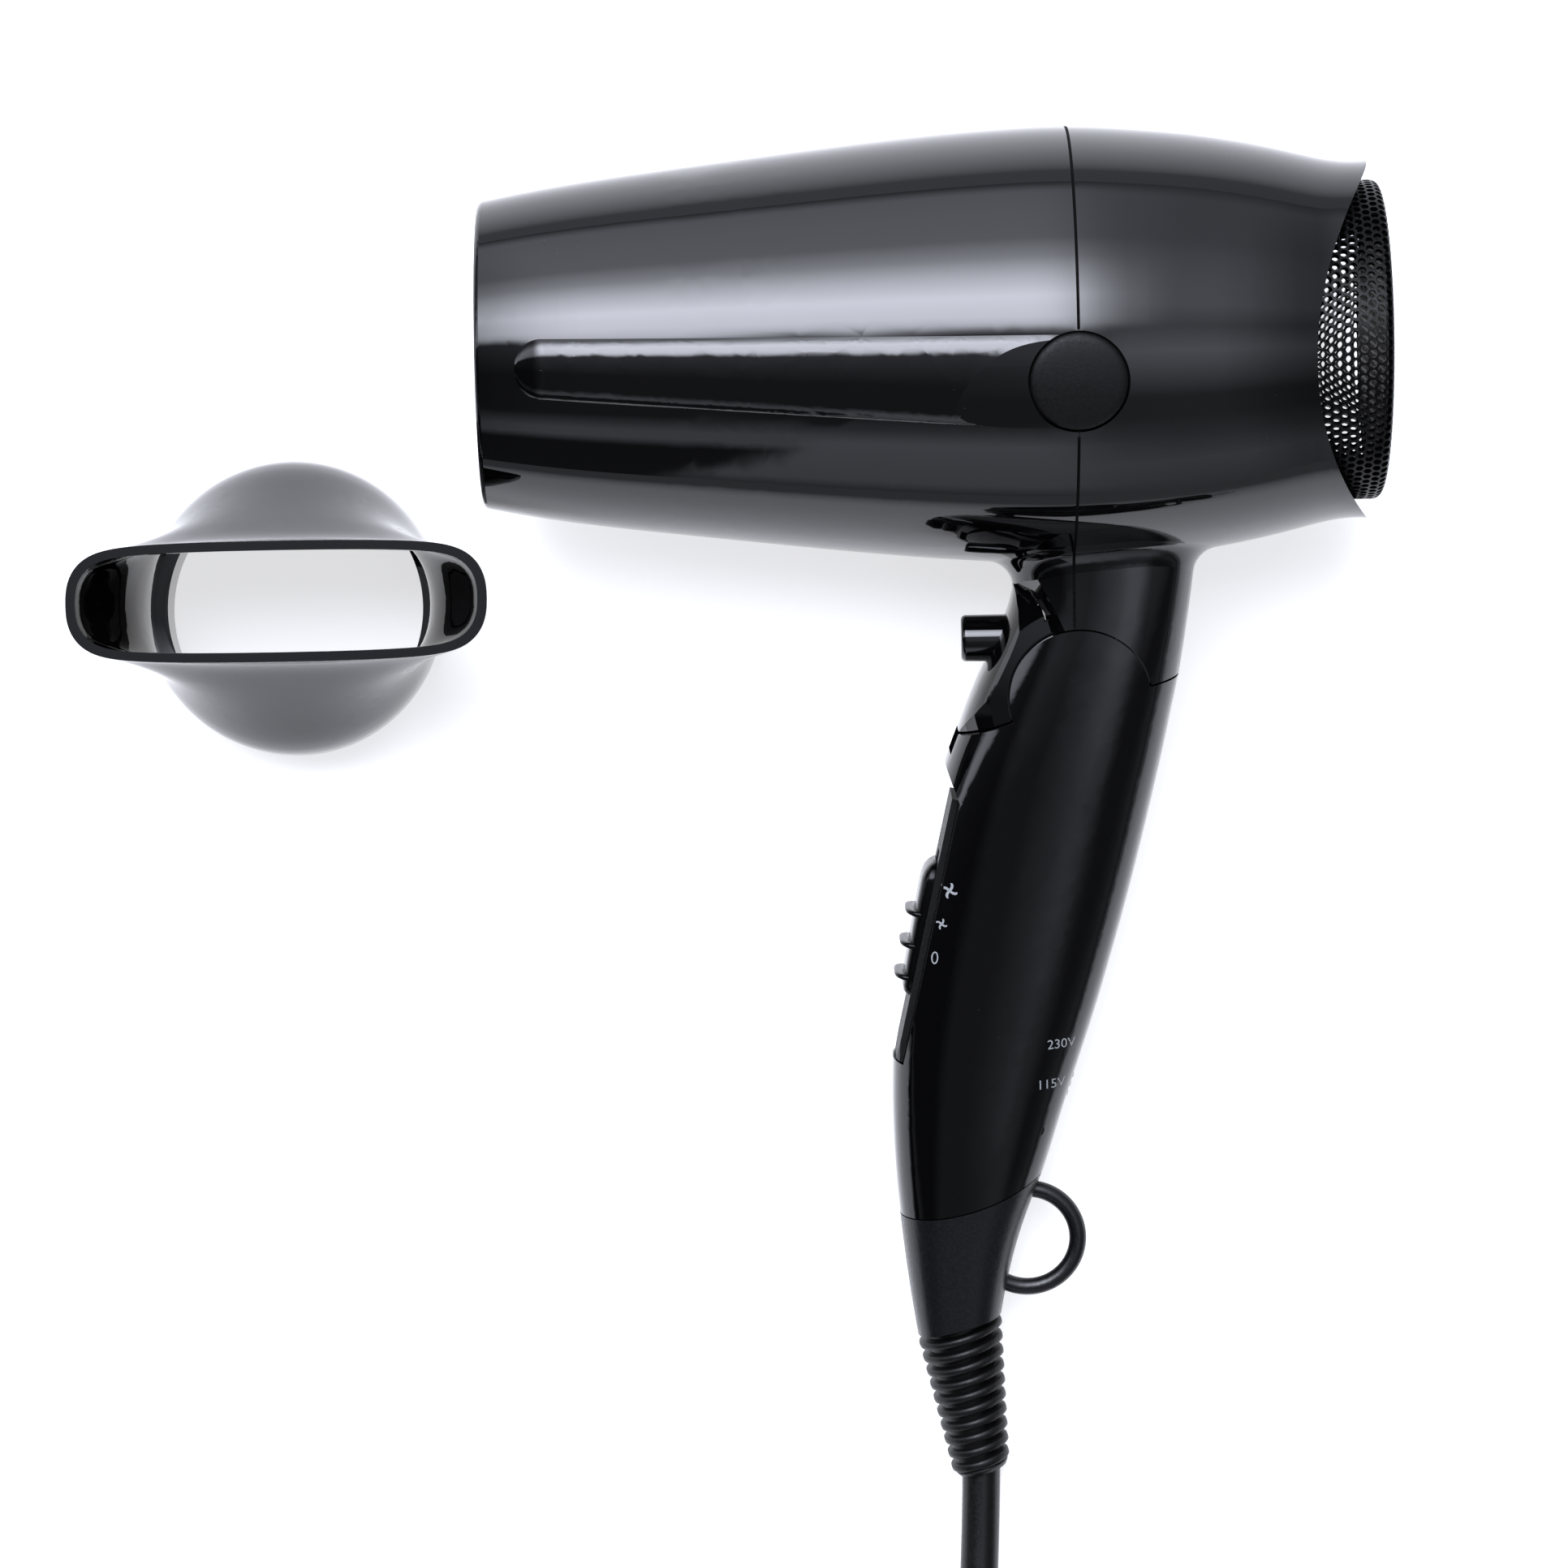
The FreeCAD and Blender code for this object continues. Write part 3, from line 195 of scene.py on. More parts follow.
def gloss_plastic(name, color, low, high, lift):
    """Polished moulded plastic: a deep colour with faint specks, and slightly uneven polish."""
    shader = Shader(name, color, low, IOR=1.5)
    shader.polish(shader.noise(55.0), low, high)
    specks = shader.node("ShaderNodeTexVoronoi")
    specks.inputs["Scale"].default_value = 420.0
    shader.link(shader.where, specks.inputs["Vector"])
    sparse = shader.spread(shader.noise(35.0, 2.0), 0.0, 1.0, 0.58, 0.72)
    fleck = shader.spread(specks.outputs["Distance"], 1.0, 0.0, 0.03, 0.07)
    both = shader.node("ShaderNodeMath", operation="MULTIPLY")
    shader.link(sparse, both.inputs[0])
    shader.link(fleck, both.inputs[1])
    shader.tint(both.outputs[0], color, lift)
    shader.bump(shader.noise(18.0, 1.0), 0.00002)
    return shader.material


GRAIN_SCALE = 1800.0
GRAIN_DEPTH = 0.00002


def grained_plastic(name, color, high_color, low, high, level):
    """Satin or matt moulded plastic with a fine spark-eroded grain."""
    shader = Shader(name, color, low, IOR=1.5, Specular_IOR_Level=level)
    grain = shader.noise(GRAIN_SCALE, 2.0)
    shader.tint(shader.noise(90.0), color, high_color)
    shader.polish(grain, low, high)
    shader.bump(grain, GRAIN_DEPTH)
    return shader.material


BLACK = (0.0010, 0.0010, 0.0012)
# darker and lighter colour, lowest and highest roughness, specular level
PLASTICS = {
    "matte_black": ((0.0022, 0.0022, 0.0024), (0.0030, 0.0030, 0.0032), 0.42, 0.55, 0.18),
    "satin_charcoal": ((0.0018, 0.0019, 0.0024), (0.0026, 0.0027, 0.0033), 0.28, 0.36, 0.4),
    "rubber_black": ((0.0018, 0.0018, 0.0019), (0.0028, 0.0028, 0.0030), 0.36, 0.46, 0.25),
    "grille_black": (BLACK, (0.0018, 0.0018, 0.0020), 0.25, 0.35, 0.12),
    "inner_plastic": ((0.0022, 0.0022, 0.0024), (0.0034, 0.0034, 0.0036), 0.35, 0.5, 0.3),
    "slider_black": (BLACK, (0.0014, 0.0014, 0.0016), 0.12, 0.18, 0.12),
    "cord_black": ((0.0016, 0.0016, 0.0018), (0.0024, 0.0024, 0.0026), 0.30, 0.38, 0.3),
    # seam_black is the matte dark finish of the strip that paints the shade in the groove between the
    # housings
    "seam_black": ((0.0008, 0.0008, 0.0008), (0.0014, 0.0014, 0.0014), 0.6, 0.8, 0.05),
}


def steel_material():
    """Drawn steel with a fine lengthwise scratch pattern."""
    shader = Shader("steel", (0.6, 0.6, 0.61), 0.3, Metallic=1.0)
    value = shader.noise(700.0, 4.0)
    shader.tint(value, (0.52, 0.52, 0.53), (0.68, 0.68, 0.69))
    shader.polish(value, 0.22, 0.4)
    return shader.material


def mica_material():
    """Mica board: pale brown flakes with a soft gloss."""
    shader = Shader("mica", (0.35, 0.27, 0.17), 0.4)
    value = shader.noise(260.0, 5.0)
    shader.tint(value, (0.25, 0.19, 0.12), (0.45, 0.36, 0.24))
    shader.polish(value, 0.3, 0.5)
    return shader.material


FINISHES = {name: grained_plastic(name, *values) for name, values in PLASTICS.items()}
FINISHES["gloss_black"] = gloss_plastic("gloss_black", BLACK, 0.02, 0.04, (0.03, 0.03, 0.033))
FINISHES["nozzle_black"] = gloss_plastic("nozzle_black", BLACK, 0.02, 0.04, (0.02, 0.02, 0.022))
FINISHES["steel"] = steel_material()
FINISHES["mica"] = mica_material()

for node_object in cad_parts.values():
    for slot in node_object.material_slots:
        slot.material = FINISHES.get(slot.material.name.split(".")[0], FINISHES["inner_plastic"])


# ---------------------------------------------------------------- cord

CORD_DIAMETER = 0.007
LEAD_POINTS = [(43.5, -119.6, 5.3), (43.2, -131.0, 4.3), (42.4, -147.0, 3.7), (42.0, -166.0, 3.6)]
TAIL_POINTS = [(93.0, -234.2, 17.8), (104.5, -234.0, 17.0), (114.0, -233.0, 13.2),
               (122.5, -231.8, 10.2)]
COIL_CENTRE = (80.0, -193.0)
# the cord's own points are in millimetres, in the frame's directions
# the winding: turn angle in degrees, radius and level of the cord's middle; then how it lifts over the tie
WINDING = [(190, 46.5, 3.6), (1080, 29.2, 3.6), (1135, 29.0, 10.5), (2120, 48.2, 10.5),
           (2172, 47.0, 17.4), (2425, 42.0, 17.6)]
WINDING_STEP = 22.5
TIE_LIFT = 0.9
TIE_REACH = 24.0


def winding_points():
    """The coil's turns, which lie on and beside each other and ride over the tie's strap."""
    points = []
    angle = WINDING[0][0]
    while angle <= WINDING[-1][0]:
        for (a, ra, za), (b, rb, zb) in zip(WINDING, WINDING[1:]):
            if a <= angle <= b:
                share = (angle - a) / (b - a)
                radius = ra + share * (rb - ra)
                level = za + share * share * (3.0 - 2.0 * share) * (zb - za)
        away = (angle + 180.0) % 360.0 - 180.0
        level += TIE_LIFT * math.exp(-(away / TIE_REACH) ** 2)
        turn = math.radians(angle)
        points.append((COIL_CENTRE[0] + radius * math.cos(turn), COIL_CENTRE[1] + radius * math.sin(turn),
                       level))
        angle += WINDING_STEP
    return points


def nurbs_tube(name, points, radius):
    """A round tube along one open NURBS spline, through control points in millimetres."""
    curve = bpy.data.curves.new(name, "CURVE")
    curve.dimensions = "3D"
    curve.bevel_depth = radius
    curve.bevel_resolution = 6
    curve.resolution_u = 8
    curve.use_fill_caps = True
    spline = curve.splines.new("NURBS")
    spline.points.add(len(points) - 1)
    for point, where in zip(spline.points, points):
        point.co = (where[0] * MM, where[1] * MM, where[2] * MM, 1.0)
    spline.order_u = 3
    spline.use_endpoint_u = True
    return new_object(name, curve)


cord = nurbs_tube("mains_cord", LEAD_POINTS + winding_points() + TAIL_POINTS, 0.5 * CORD_DIAMETER)
dress(cord, FINISHES["cord_black"])
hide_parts("cord_lead", "cord_coil", "cord_tail")
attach(cord, "handle")


# ---------------------------------------------------------------- plug and tie

PLUG_START = (120.5, -231.6, 10.2)
# along the plug, half width and half height, in millimetres
PLUG_STATIONS = [(-1.0, 4.2, 4.2), (-0.6, 4.8, 4.8), (1.5, 5.6, 5.4), (7.0, 6.6, 6.2),
                 (12.5, 8.6, 7.1), (18.0, 12.4, 8.0), (24.0, 15.9, 8.8), (29.0, 17.3, 9.1),
                 (34.0, 17.9, 9.2), (36.3, 17.6, 8.9), (37.0, 16.4, 7.8)]
PLUG_SQUARENESS = 0.8
PLUG_SIDES = 48
PIN_SPACING = 19.0
PIN_RADIUS = 2.4
PIN_LENGTH = 19.0
# the pin's tip: distance back from its end, and share of its radius
PIN_TIP = [(1.6, 1.0), (0.7, 0.86), (0.15, 0.6), (0.0, 0.35)]


def skin(name, rings):
    """A closed mesh over rings that have the same number of points."""
    bm = bmesh.new()
    rows = [[bm.verts.new(point) for point in ring] for ring in rings]
    join_rings(bm, rows)
    close_ends(bm, rows)
    bmesh.ops.recalc_face_normals(bm, faces=bm.faces)
    return mesh_object(name, bm)


def rounded_ring(centre, half_wide, half_high, power):
    """A ring of points in the YZ plane, between an ellipse (power 1) and a rounded box."""
    points = []
    for index in range(PLUG_SIDES):
        turn = 2.0 * math.pi * index / PLUG_SIDES
        y = half_wide * math.copysign(abs(math.cos(turn)) ** power, math.cos(turn))
        z = half_high * math.copysign(abs(math.sin(turn)) ** power, math.sin(turn))
        points.append(Vector((centre[0], centre[1] + y, centre[2] + z)) * MM)
    return points


rings = []
for along, wide, high in PLUG_STATIONS:
    middle = (PLUG_START[0] + along, PLUG_START[1], PLUG_START[2])
    rings.append(rounded_ring(middle, wide, high, PLUG_SQUARENESS))
plug = skin("mains_plug", rings)
shade_by_angle(plug, 50.0)
dress(plug, FINISHES["rubber_black"])
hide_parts("plug_body")
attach(plug, "handle")


def pin_rings(side):
    """The outline of one round pin with a softened tip."""
    face = PLUG_START[0] + PLUG_STATIONS[-1][0]
    steps = [(-1.0, 1.0), (0.0, 1.0)] + [(PIN_LENGTH - back, share) for back, share in PIN_TIP]
    centre_y = PLUG_START[1] + side * 0.5 * PIN_SPACING
    return [rounded_ring((face + along, centre_y, PLUG_START[2]), PIN_RADIUS * share, PIN_RADIUS * share, 1.0)
            for along, share in steps]


for side, word in ((1, "left"), (-1, "right")):
    pin = skin("plug_pin_" + word, pin_rings(side))
    shade_by_angle(pin, 60.0)
    dress(pin, FINISHES["steel"])
    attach(pin, "handle")
    if side == 1:
        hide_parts("plug_pins")


# the strap's loop: inner and outer reach from the coil's centre, bottom, top, and corner radius
STRAP_LOOP = (24.2, 52.4, 0.05, 22.4, 4.0)
STRAP_THICK = 0.85
STRAP_HALF = 5.0
STRAP_EDGE = 0.3
STRAP_CORNER_STEPS = 6


def tie_strap():
    """The soft strap round the coil's section: a band with rounded corners."""
    low, high, bottom, top, corner = STRAP_LOOP
    outline = []
    for cx, cz, start in ((high - corner, top - corner, 0.0), (low + corner, top - corner, 90.0),
                          (low + corner, bottom + corner, 180.0), (high - corner, bottom + corner, 270.0)):
        for step in range(STRAP_CORNER_STEPS + 1):
            turn = math.radians(start + 90.0 * step / STRAP_CORNER_STEPS)
            outline.append((cx, cz, math.cos(turn), math.sin(turn)))
    bm = bmesh.new()
    profile = [(-STRAP_HALF, 0.0), (-STRAP_HALF + STRAP_EDGE, STRAP_THICK),
               (STRAP_HALF - STRAP_EDGE, STRAP_THICK), (STRAP_HALF, 0.0)]
    rows = []
    for cx, cz, cosine, sine in outline:
        row = []
        for y, out in profile:
            reach = corner - STRAP_THICK + out
            where = (COIL_CENTRE[0] + cx + reach * cosine, COIL_CENTRE[1] + y,
                     max(bottom, cz + reach * sine))
            row.append(bm.verts.new(Vector(where) * MM))
        rows.append(row)
    join_rings(bm, rows, wrap=True)
    bmesh.ops.recalc_face_normals(bm, faces=bm.faces)
    return mesh_object("cord_strap", bm)


def strap_material():
    """Woven nylon: fine crossed ribs."""
    shader = Shader("strap_nylon", (0.01, 0.01, 0.011), 0.7, Sheen_Weight=0.3)
    wave = shader.node("ShaderNodeTexWave", bands_direction="Y")
    wave.inputs["Scale"].default_value = 500.0
    shader.link(shader.where, wave.inputs["Vector"])
    shader.tint(wave.outputs["Fac"], (0.008, 0.008, 0.009), (0.016, 0.016, 0.018))
    shader.bump(wave.outputs["Fac"], 0.0001)
    return shader.material


strap = tie_strap()
shade_by_angle(strap, 40.0)
dress(strap, strap_material())
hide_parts("cord_tie")
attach(strap, "handle")


# ---------------------------------------------------------------- strain relief

GUARD_START = (-21.4, -180.9)
GUARD_END = (-18.1, -205.0)
GUARD_TILT = (0.285, -0.9585)
GUARD_RINGS = 10
GUARD_SIDES = 56
# radius of the ribs and of the core between them, at the root and at the end
GUARD_RIB = 7.9
GUARD_RIB_END = 5.5
GUARD_ROOT = 6.1
GUARD_CORE_END = 4.6
GUARD_RIB_WIDE = 1.75
# across one rib: share of its width, and share of its height below its crest
GUARD_RIB_SHAPE = [(-0.5, 1.0), (-0.42, 0.25 / 0.9), (-0.3, 0.04 / 0.9), (0.0, 0.0), (0.3, 0.04 / 0.9),
                   (0.42, 0.25 / 0.9), (0.5, 1.0)]
# beyond the last rib: distance and radius
GUARD_TIP = [(1.3, 4.9), (2.1, 4.4), (2.3, 3.7)]


def guard_ring(middle, along, radius):
    """A ring of points square to the guard's direction, so far along from a point on its axis."""
    start = (middle[0] + along * GUARD_TILT[0], middle[1] + along * GUARD_TILT[1])
    points = []
    for index in range(GUARD_SIDES):
        turn = 2.0 * math.pi * index / GUARD_SIDES
        flat = radius * math.cos(turn)
        points.append(place(start[0] - flat * GUARD_TILT[1], start[1] + flat * GUARD_TILT[0],
                            radius * math.sin(turn)))
    return points


def guard_profile():
    """Rings down the guard: its root inside the end cap, the rounded ribs, and the tip."""
    rings = [guard_ring((GUARD_START[0] - 0.9, GUARD_START[1] + 6.5), 0.0, GUARD_ROOT)]
    for index in range(GUARD_RINGS):
        share = index / (GUARD_RINGS - 1.0)
        radius = GUARD_RIB + share * (GUARD_RIB_END - GUARD_RIB)
        core = GUARD_ROOT + share * (GUARD_CORE_END - GUARD_ROOT)
        middle = [a + share * (b - a) for a, b in zip(GUARD_START, GUARD_END)]
        for along, drop in GUARD_RIB_SHAPE:
            rings.append(guard_ring(middle, GUARD_RIB_WIDE * along, radius - drop * (radius - core)))
    for along, radius in GUARD_TIP:
        rings.append(guard_ring(GUARD_END, along, radius))
    return rings


guard = skin("strain_relief", guard_profile())
shade_by_angle(guard, 60.0)
dress(guard, FINISHES["rubber_black"])
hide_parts("cord_guard")
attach(guard, "handle")


# ---------------------------------------------------------------- inlet grille

GRILLE_RADIUS = 28.4
GRILLE_ROOT = 29.0
GRILLE_END = 55.5
GRILLE_CORNER = 1.6
GRILLE_WALL = 0.9
GRILLE_LAP = 0.02
CELLS_ROUND = 102
CELL_POINTS = 12
HOLE_SHARE = 0.74
# a hole is a hexagon with its corners cut: reach at its corners and between them
HOLE_REACH = (0.955, 0.925)
BAND_STEPS = 8
FLANGE_RADIUS = 33.0
FLANGE_THICK = 1.4
FLANGE_SIDES = 96


def cup_point(along, turn, depth):
    """A point of the cup by the path from its root over the corner towards its middle."""
    straight = GRILLE_END - GRILLE_CORNER - GRILLE_ROOT
    bend = 0.5 * math.pi * GRILLE_CORNER
    inner = GRILLE_RADIUS - GRILLE_CORNER
    if along < straight:
        x, radius = GRILLE_ROOT + along, GRILLE_RADIUS - depth
    elif along < straight + bend:
        angle = (along - straight) / GRILLE_CORNER
        reach = GRILLE_CORNER - depth
        x = GRILLE_END - GRILLE_CORNER + reach * math.sin(angle)
        radius = inner + reach * math.cos(angle)
    else:
        x, radius = GRILLE_END - depth, inner - (along - straight - bend)
    return place(x, radius * math.cos(turn), radius * math.sin(turn))


def cell_ring(centre, corner, between):
    """Twelve points round a cell, by their reach at its six corners and between them."""
    points = []
    for index in range(CELL_POINTS):
        angle = 2.0 * math.pi * index / CELL_POINTS
        size = corner if index % 2 == 0 else between
        points.append((centre[0] + size * math.cos(angle), centre[1] + size * math.sin(angle)))
    return points


def perforated(bm, centres, pitch, mapper):
    """Add a sheet of hexagonal cells with a hole in each. mapper takes (u, v, depth) to a point."""
    corner = pitch / math.sqrt(3.0)
    hole_size = corner * HOLE_SHARE
    for centre in centres:
        rim = cell_ring(centre, corner, 0.5 * pitch)
        hole = cell_ring(centre, hole_size * HOLE_REACH[0], hole_size * HOLE_REACH[1])
        layers = []
        for ring, depth in ((rim, 0.0), (hole, 0.0), (hole, GRILLE_WALL), (rim, GRILLE_WALL)):
            layers.append([bm.verts.new(mapper(u, v, depth)) for u, v in ring])
        join_rings(bm, layers)


def cell_centre(row, column, pitch, row_step):
    """The middle of a cell, where every second row is moved by half a cell."""
    return (row * row_step, (column + 0.5 * (row % 2)) * pitch)


def grille():
    """The perforated cup: holes round its side and over its end, plain bands between, on a flange."""
    bm = bmesh.new()
    pitch = 2.0 * math.pi * GRILLE_RADIUS / CELLS_ROUND
    row_step = pitch * math.sqrt(3.0) / 2.0
    corner_end = GRILLE_END - GRILLE_CORNER - GRILLE_ROOT + 0.5 * math.pi * GRILLE_CORNER
    rows = int(corner_end / row_step) - 1
    lead_in = 1.2 + pitch
    wall = []
    for row in range(rows):
        for column in range(CELLS_ROUND):
            along, around = cell_centre(row, column, pitch, row_step)
            wall.append((lead_in + along, around))
    perforated(bm, wall, pitch, lambda u, v, depth: cup_point(u, v / GRILLE_RADIUS, depth))
    face_limit = GRILLE_RADIUS - GRILLE_CORNER - pitch
    reach = int(GRILLE_RADIUS / row_step) + 2
    flat = []
    for row in range(-reach, reach + 1):
        for column in range(-reach, reach + 1):
            spot = cell_centre(row, column, pitch, row_step)
            if math.hypot(*spot) < face_limit:
                flat.append(spot)
    perforated(bm, flat, pitch, lambda u, v, depth: place(GRILLE_END - depth, u, v))
    last = lead_in + (rows - 1) * row_step + pitch / math.sqrt(3.0)
    bands = [(0.0, lead_in - 0.25 * pitch), (last - 0.75 * pitch, corner_end + 1.15 * pitch)]
    for start, stop in bands:
        for depth in (GRILLE_LAP, GRILLE_WALL - GRILLE_LAP):
            loops = []
            for step in range(BAND_STEPS + 1):
                along = start + (stop - start) * step / BAND_STEPS
                loops.append([bm.verts.new(cup_point(along, 2.0 * math.pi * k / CELLS_ROUND, depth))
                              for k in range(CELLS_ROUND)])
            join_rings(bm, loops)
    root = GRILLE_RADIUS - 0.8
    flange = [(GRILLE_ROOT, root), (GRILLE_ROOT, FLANGE_RADIUS), (GRILLE_ROOT + FLANGE_THICK, FLANGE_RADIUS),
              (GRILLE_ROOT + FLANGE_THICK, root)]
    loops = []
    for x, radius in flange:
        turns = [2.0 * math.pi * k / FLANGE_SIDES for k in range(FLANGE_SIDES)]
        loops.append([bm.verts.new(place(x, radius * math.cos(turn), radius * math.sin(turn)))
                      for turn in turns])
    join_rings(bm, loops, wrap=True)
    bmesh.ops.remove_doubles(bm, verts=bm.verts, dist=0.00001)
    return mesh_object("inlet_mesh", bm, False)


inlet = grille()
dress(inlet, FINISHES["grille_black"])
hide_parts("inlet_grille")
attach(inlet, "barrel")


# ---------------------------------------------------------------- power slider

TRACK_FOOT = Vector((-24.1, -90.7, 0.0))
TRACK_UP = Vector((0.2181, 0.9759, 0.0))
TRACK_OUT = Vector((-0.9759, 0.2181, 0.0))
SLIDER_HALF = 6.0
SLIDER_FLOOR = 0.12
# the pad's height out from its plate, along the track
PAD_HEIGHT = [(-26.8, 0.5), (-26.4, 1.1), (-25.2, 1.5), (-22.0, 1.7), (-10.0, 2.1), (-5.5, 2.15),
              (-4.0, 1.9), (-2.9, 1.3), (-2.2, 0.6)]
# the pad is narrower over these lengths at its lower and upper ends, by these shares
PAD_TAPER_LOW = (1.6, 0.25)
PAD_TAPER_HIGH = (2.4, 0.35)
FINS = [-23.7, -17.8, -11.9]
FIN_HEIGHT = 1.75
FIN_THICK = 1.0
FIN_STEPS = 8
ARCH_STEPS = 20


def track_point(along, out, across):
    """A point in the frame of the slider's track."""
    spot = TRACK_FOOT + along * TRACK_UP + out * TRACK_OUT
    return place(spot.x, spot.y, across)


def pad_height(along):
    """The pad's height at a place along the track."""
    for (a, low), (b, high) in zip(PAD_HEIGHT, PAD_HEIGHT[1:]):
        if a <= along <= b:
            return low + (high - low) * (along - a) / (b - a)
    return 0.0


def pad_arch(along, lift, half, low):
    """Points over the pad at one place along the track: a flat arch with rounded shoulders."""
    points = []
    for index in range(ARCH_STEPS + 1):
        turn = math.pi * index / ARCH_STEPS
        across = half * math.copysign(abs(math.cos(turn)) ** 0.45, math.cos(turn))
        points.append(track_point(along, low + lift * abs(math.sin(turn)) ** 0.55, across))
    points.append(track_point(along, low - 0.02, -half))
    points.append(track_point(along, low - 0.02, half))
    return points


def pad_width(along):
    """The pad's half width at a place along the track."""
    low = max(0.0, 1.0 - (along - PAD_HEIGHT[0][0]) / PAD_TAPER_LOW[0])
    high = max(0.0, 1.0 - (PAD_HEIGHT[-1][0] - along) / PAD_TAPER_HIGH[0])
    return SLIDER_HALF * (1.0 - PAD_TAPER_LOW[1] * low - PAD_TAPER_HIGH[1] * high ** 2)


def slider():
    """The thumb slider: a rounded pad with three rounded fins across it, as one mesh."""
    shapes = [[pad_arch(along, height, pad_width(along), SLIDER_FLOOR) for along, height in PAD_HEIGHT]]
    for fin in FINS:
        base = pad_height(fin)
        rings = []
        for step in range(FIN_STEPS + 1):
            turn = math.pi * step / FIN_STEPS
            along = fin - 0.5 * FIN_THICK * math.cos(turn)
            swell = max(0.12, math.sin(turn)) ** 0.5
            half = SLIDER_HALF * (0.9 + 0.09 * swell)
            rings.append(pad_arch(along, base + FIN_HEIGHT * swell, half, SLIDER_FLOOR))
        shapes.append(rings)
    bm = bmesh.new()
    for rings in shapes:
        rows = [[bm.verts.new(point) for point in ring] for ring in rings]
        join_rings(bm, rows)
        close_ends(bm, rows)
    bmesh.ops.recalc_face_normals(bm, faces=bm.faces)
    return mesh_object("power_slide_pad", bm)


pad = slider()
shade_by_angle(pad, 45.0)
dress(pad, FINISHES["slider_black"])
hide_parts("power_slider")
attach(pad, "power_slider")


# ---------------------------------------------------------------- printed marks

def ink_material():
    """Pad-printed light grey ink, slightly uneven."""
    shader = Shader("ink", (0.24, 0.26, 0.265), 0.5)
    value = shader.noise(900.0, 3.0)
    shader.tint(value, (0.21, 0.225, 0.23), (0.27, 0.29, 0.295))
    shader.polish(value, 0.42, 0.6)
    return shader.material


INK = ink_material()
handle_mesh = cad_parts["handle_shell_upper"]


INK_THICK = 0.00003


def print_on_handle(name, flat, centre, size, turn):
    """Lay a flat shape (a bmesh in its own unit plane) on the handle's upper face."""
    cosine = math.cos(math.radians(turn))
    sine = math.sin(math.radians(turn))
    for vert in flat.verts:
        u = vert.co.x * size
        v = vert.co.y * size
        x = centre[0] + cosine * u - sine * v
        y = centre[1] + sine * u + cosine * v
        start = place(x, y, 40.0)
        aim = (place(x, y, 0.0) - start).normalized()
        hit, where, normal, face = handle_mesh.ray_cast(start, aim)
        vert.co = where + normal * INK_THICK if hit else place(x, y, 8.0)
    obj = mesh_object(name, flat, False)
    dress(obj, INK)
    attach(obj, "handle")
    return obj


FAN_BLADE = [(0.0, 0.0), (0.16, 0.10), (0.24, 0.30), (0.22, 0.52), (0.10, 0.66), (-0.06, 0.62),
             (0.02, 0.48), (0.03, 0.30), (-0.06, 0.14)]


def pinwheel():
    """A fan sign: four curved blades."""
    bm = bmesh.new()
    for quarter in range(4):
        turned = Matrix.Rotation(math.radians(90.0 * quarter), 4, "Z")
        bm.faces.new([bm.verts.new(turned @ Vector((x, y, 0.0))) for x, y in FAN_BLADE])
    bmesh.ops.triangulate(bm, faces=bm.faces)
    return bm


def written(text):
    """A number as a flat mesh, centred, one unit high."""
    curve = bpy.data.curves.new("number", "FONT")
    curve.body = text
    curve.align_x = "CENTER"
    curve.align_y = "CENTER"
    curve.size = 1.35
    curve.resolution_u = 4
    holder = new_object("number", curve)
    bpy.context.view_layer.update()
    mesh = bpy.data.meshes.new_from_object(holder)
    bpy.data.objects.remove(holder)
    bm = bmesh.new()
    bm.from_mesh(mesh)
    bmesh.ops.triangulate(bm, faces=bm.faces)
    return bm


NOUGHT_OUTER = (0.27, 0.5)
NOUGHT_INNER = (0.165, 0.39)
NOUGHT_SIDES = 24


def ring_mark():
    """A slim nought."""
    bm = bmesh.new()
    rings = []
    for wide, high in (NOUGHT_OUTER, NOUGHT_INNER):
        turns = [2.0 * math.pi * k / NOUGHT_SIDES for k in range(NOUGHT_SIDES)]
        rings.append([bm.verts.new((wide * math.cos(turn), high * math.sin(turn), 0.0)) for turn in turns])
    join_rings(bm, rings)
    return bm


print_on_handle("mark_fan_high", pinwheel(), (-22.7, -96.3), 2.2, -12.0)
print_on_handle("mark_fan_low", pinwheel(), (-24.2, -102.4), 1.55, -12.0)
print_on_handle("mark_off", ring_mark(), (-25.5, -108.6), 2.3, -6.0)
print_on_handle("mark_230", written("230V"), (-2.9, -124.9), 1.85, 1.0)
print_on_handle("mark_115", written("115V"), (-4.8, -132.4), 1.85, 1.0)


# ---------------------------------------------------------------- side caps, and the painted shade along the housings' seam

CAP_RADIUS = 8.66
CAP_DROP = 3.0
# share of the radius, and height over the barrel's surface in millimetres
CAP_LEVELS = [(0.02, 0.42), (0.3, 0.42), (0.6, 0.40), (0.8, 0.36), (0.88, 0.30), (0.93, 0.18),
              (0.965, -0.02), (0.985, -0.30), (1.0, -0.9)]
# the underside's cap stays lower, clear of the surface it lies on
CAP_LOWER_LIMIT = 0.3
CAP_SIDES = 72


def seat_radius(x):
    """The barrel's radius near the seam."""
    return 38.8 - 0.01566 * x - 0.003604 * x * x


def cap_mesh(name, side):
    """A domed cover disc with a rounded edge, following the barrel's curve."""
    rings = []
    for share, height in reversed(CAP_LEVELS):
        ring = []
        for index in range(CAP_SIDES):
            turn = 2.0 * math.pi * index / CAP_SIDES
            x = CAP_RADIUS * share * math.cos(turn)
            y = CAP_RADIUS * share * math.sin(turn) - CAP_DROP
            lift = height if side > 0 else min(height, CAP_LOWER_LIMIT)
            ring.append(place(x, y, side * math.sqrt((seat_radius(x) + lift) ** 2 - y * y)))
        rings.append(ring)
    return skin(name, rings)


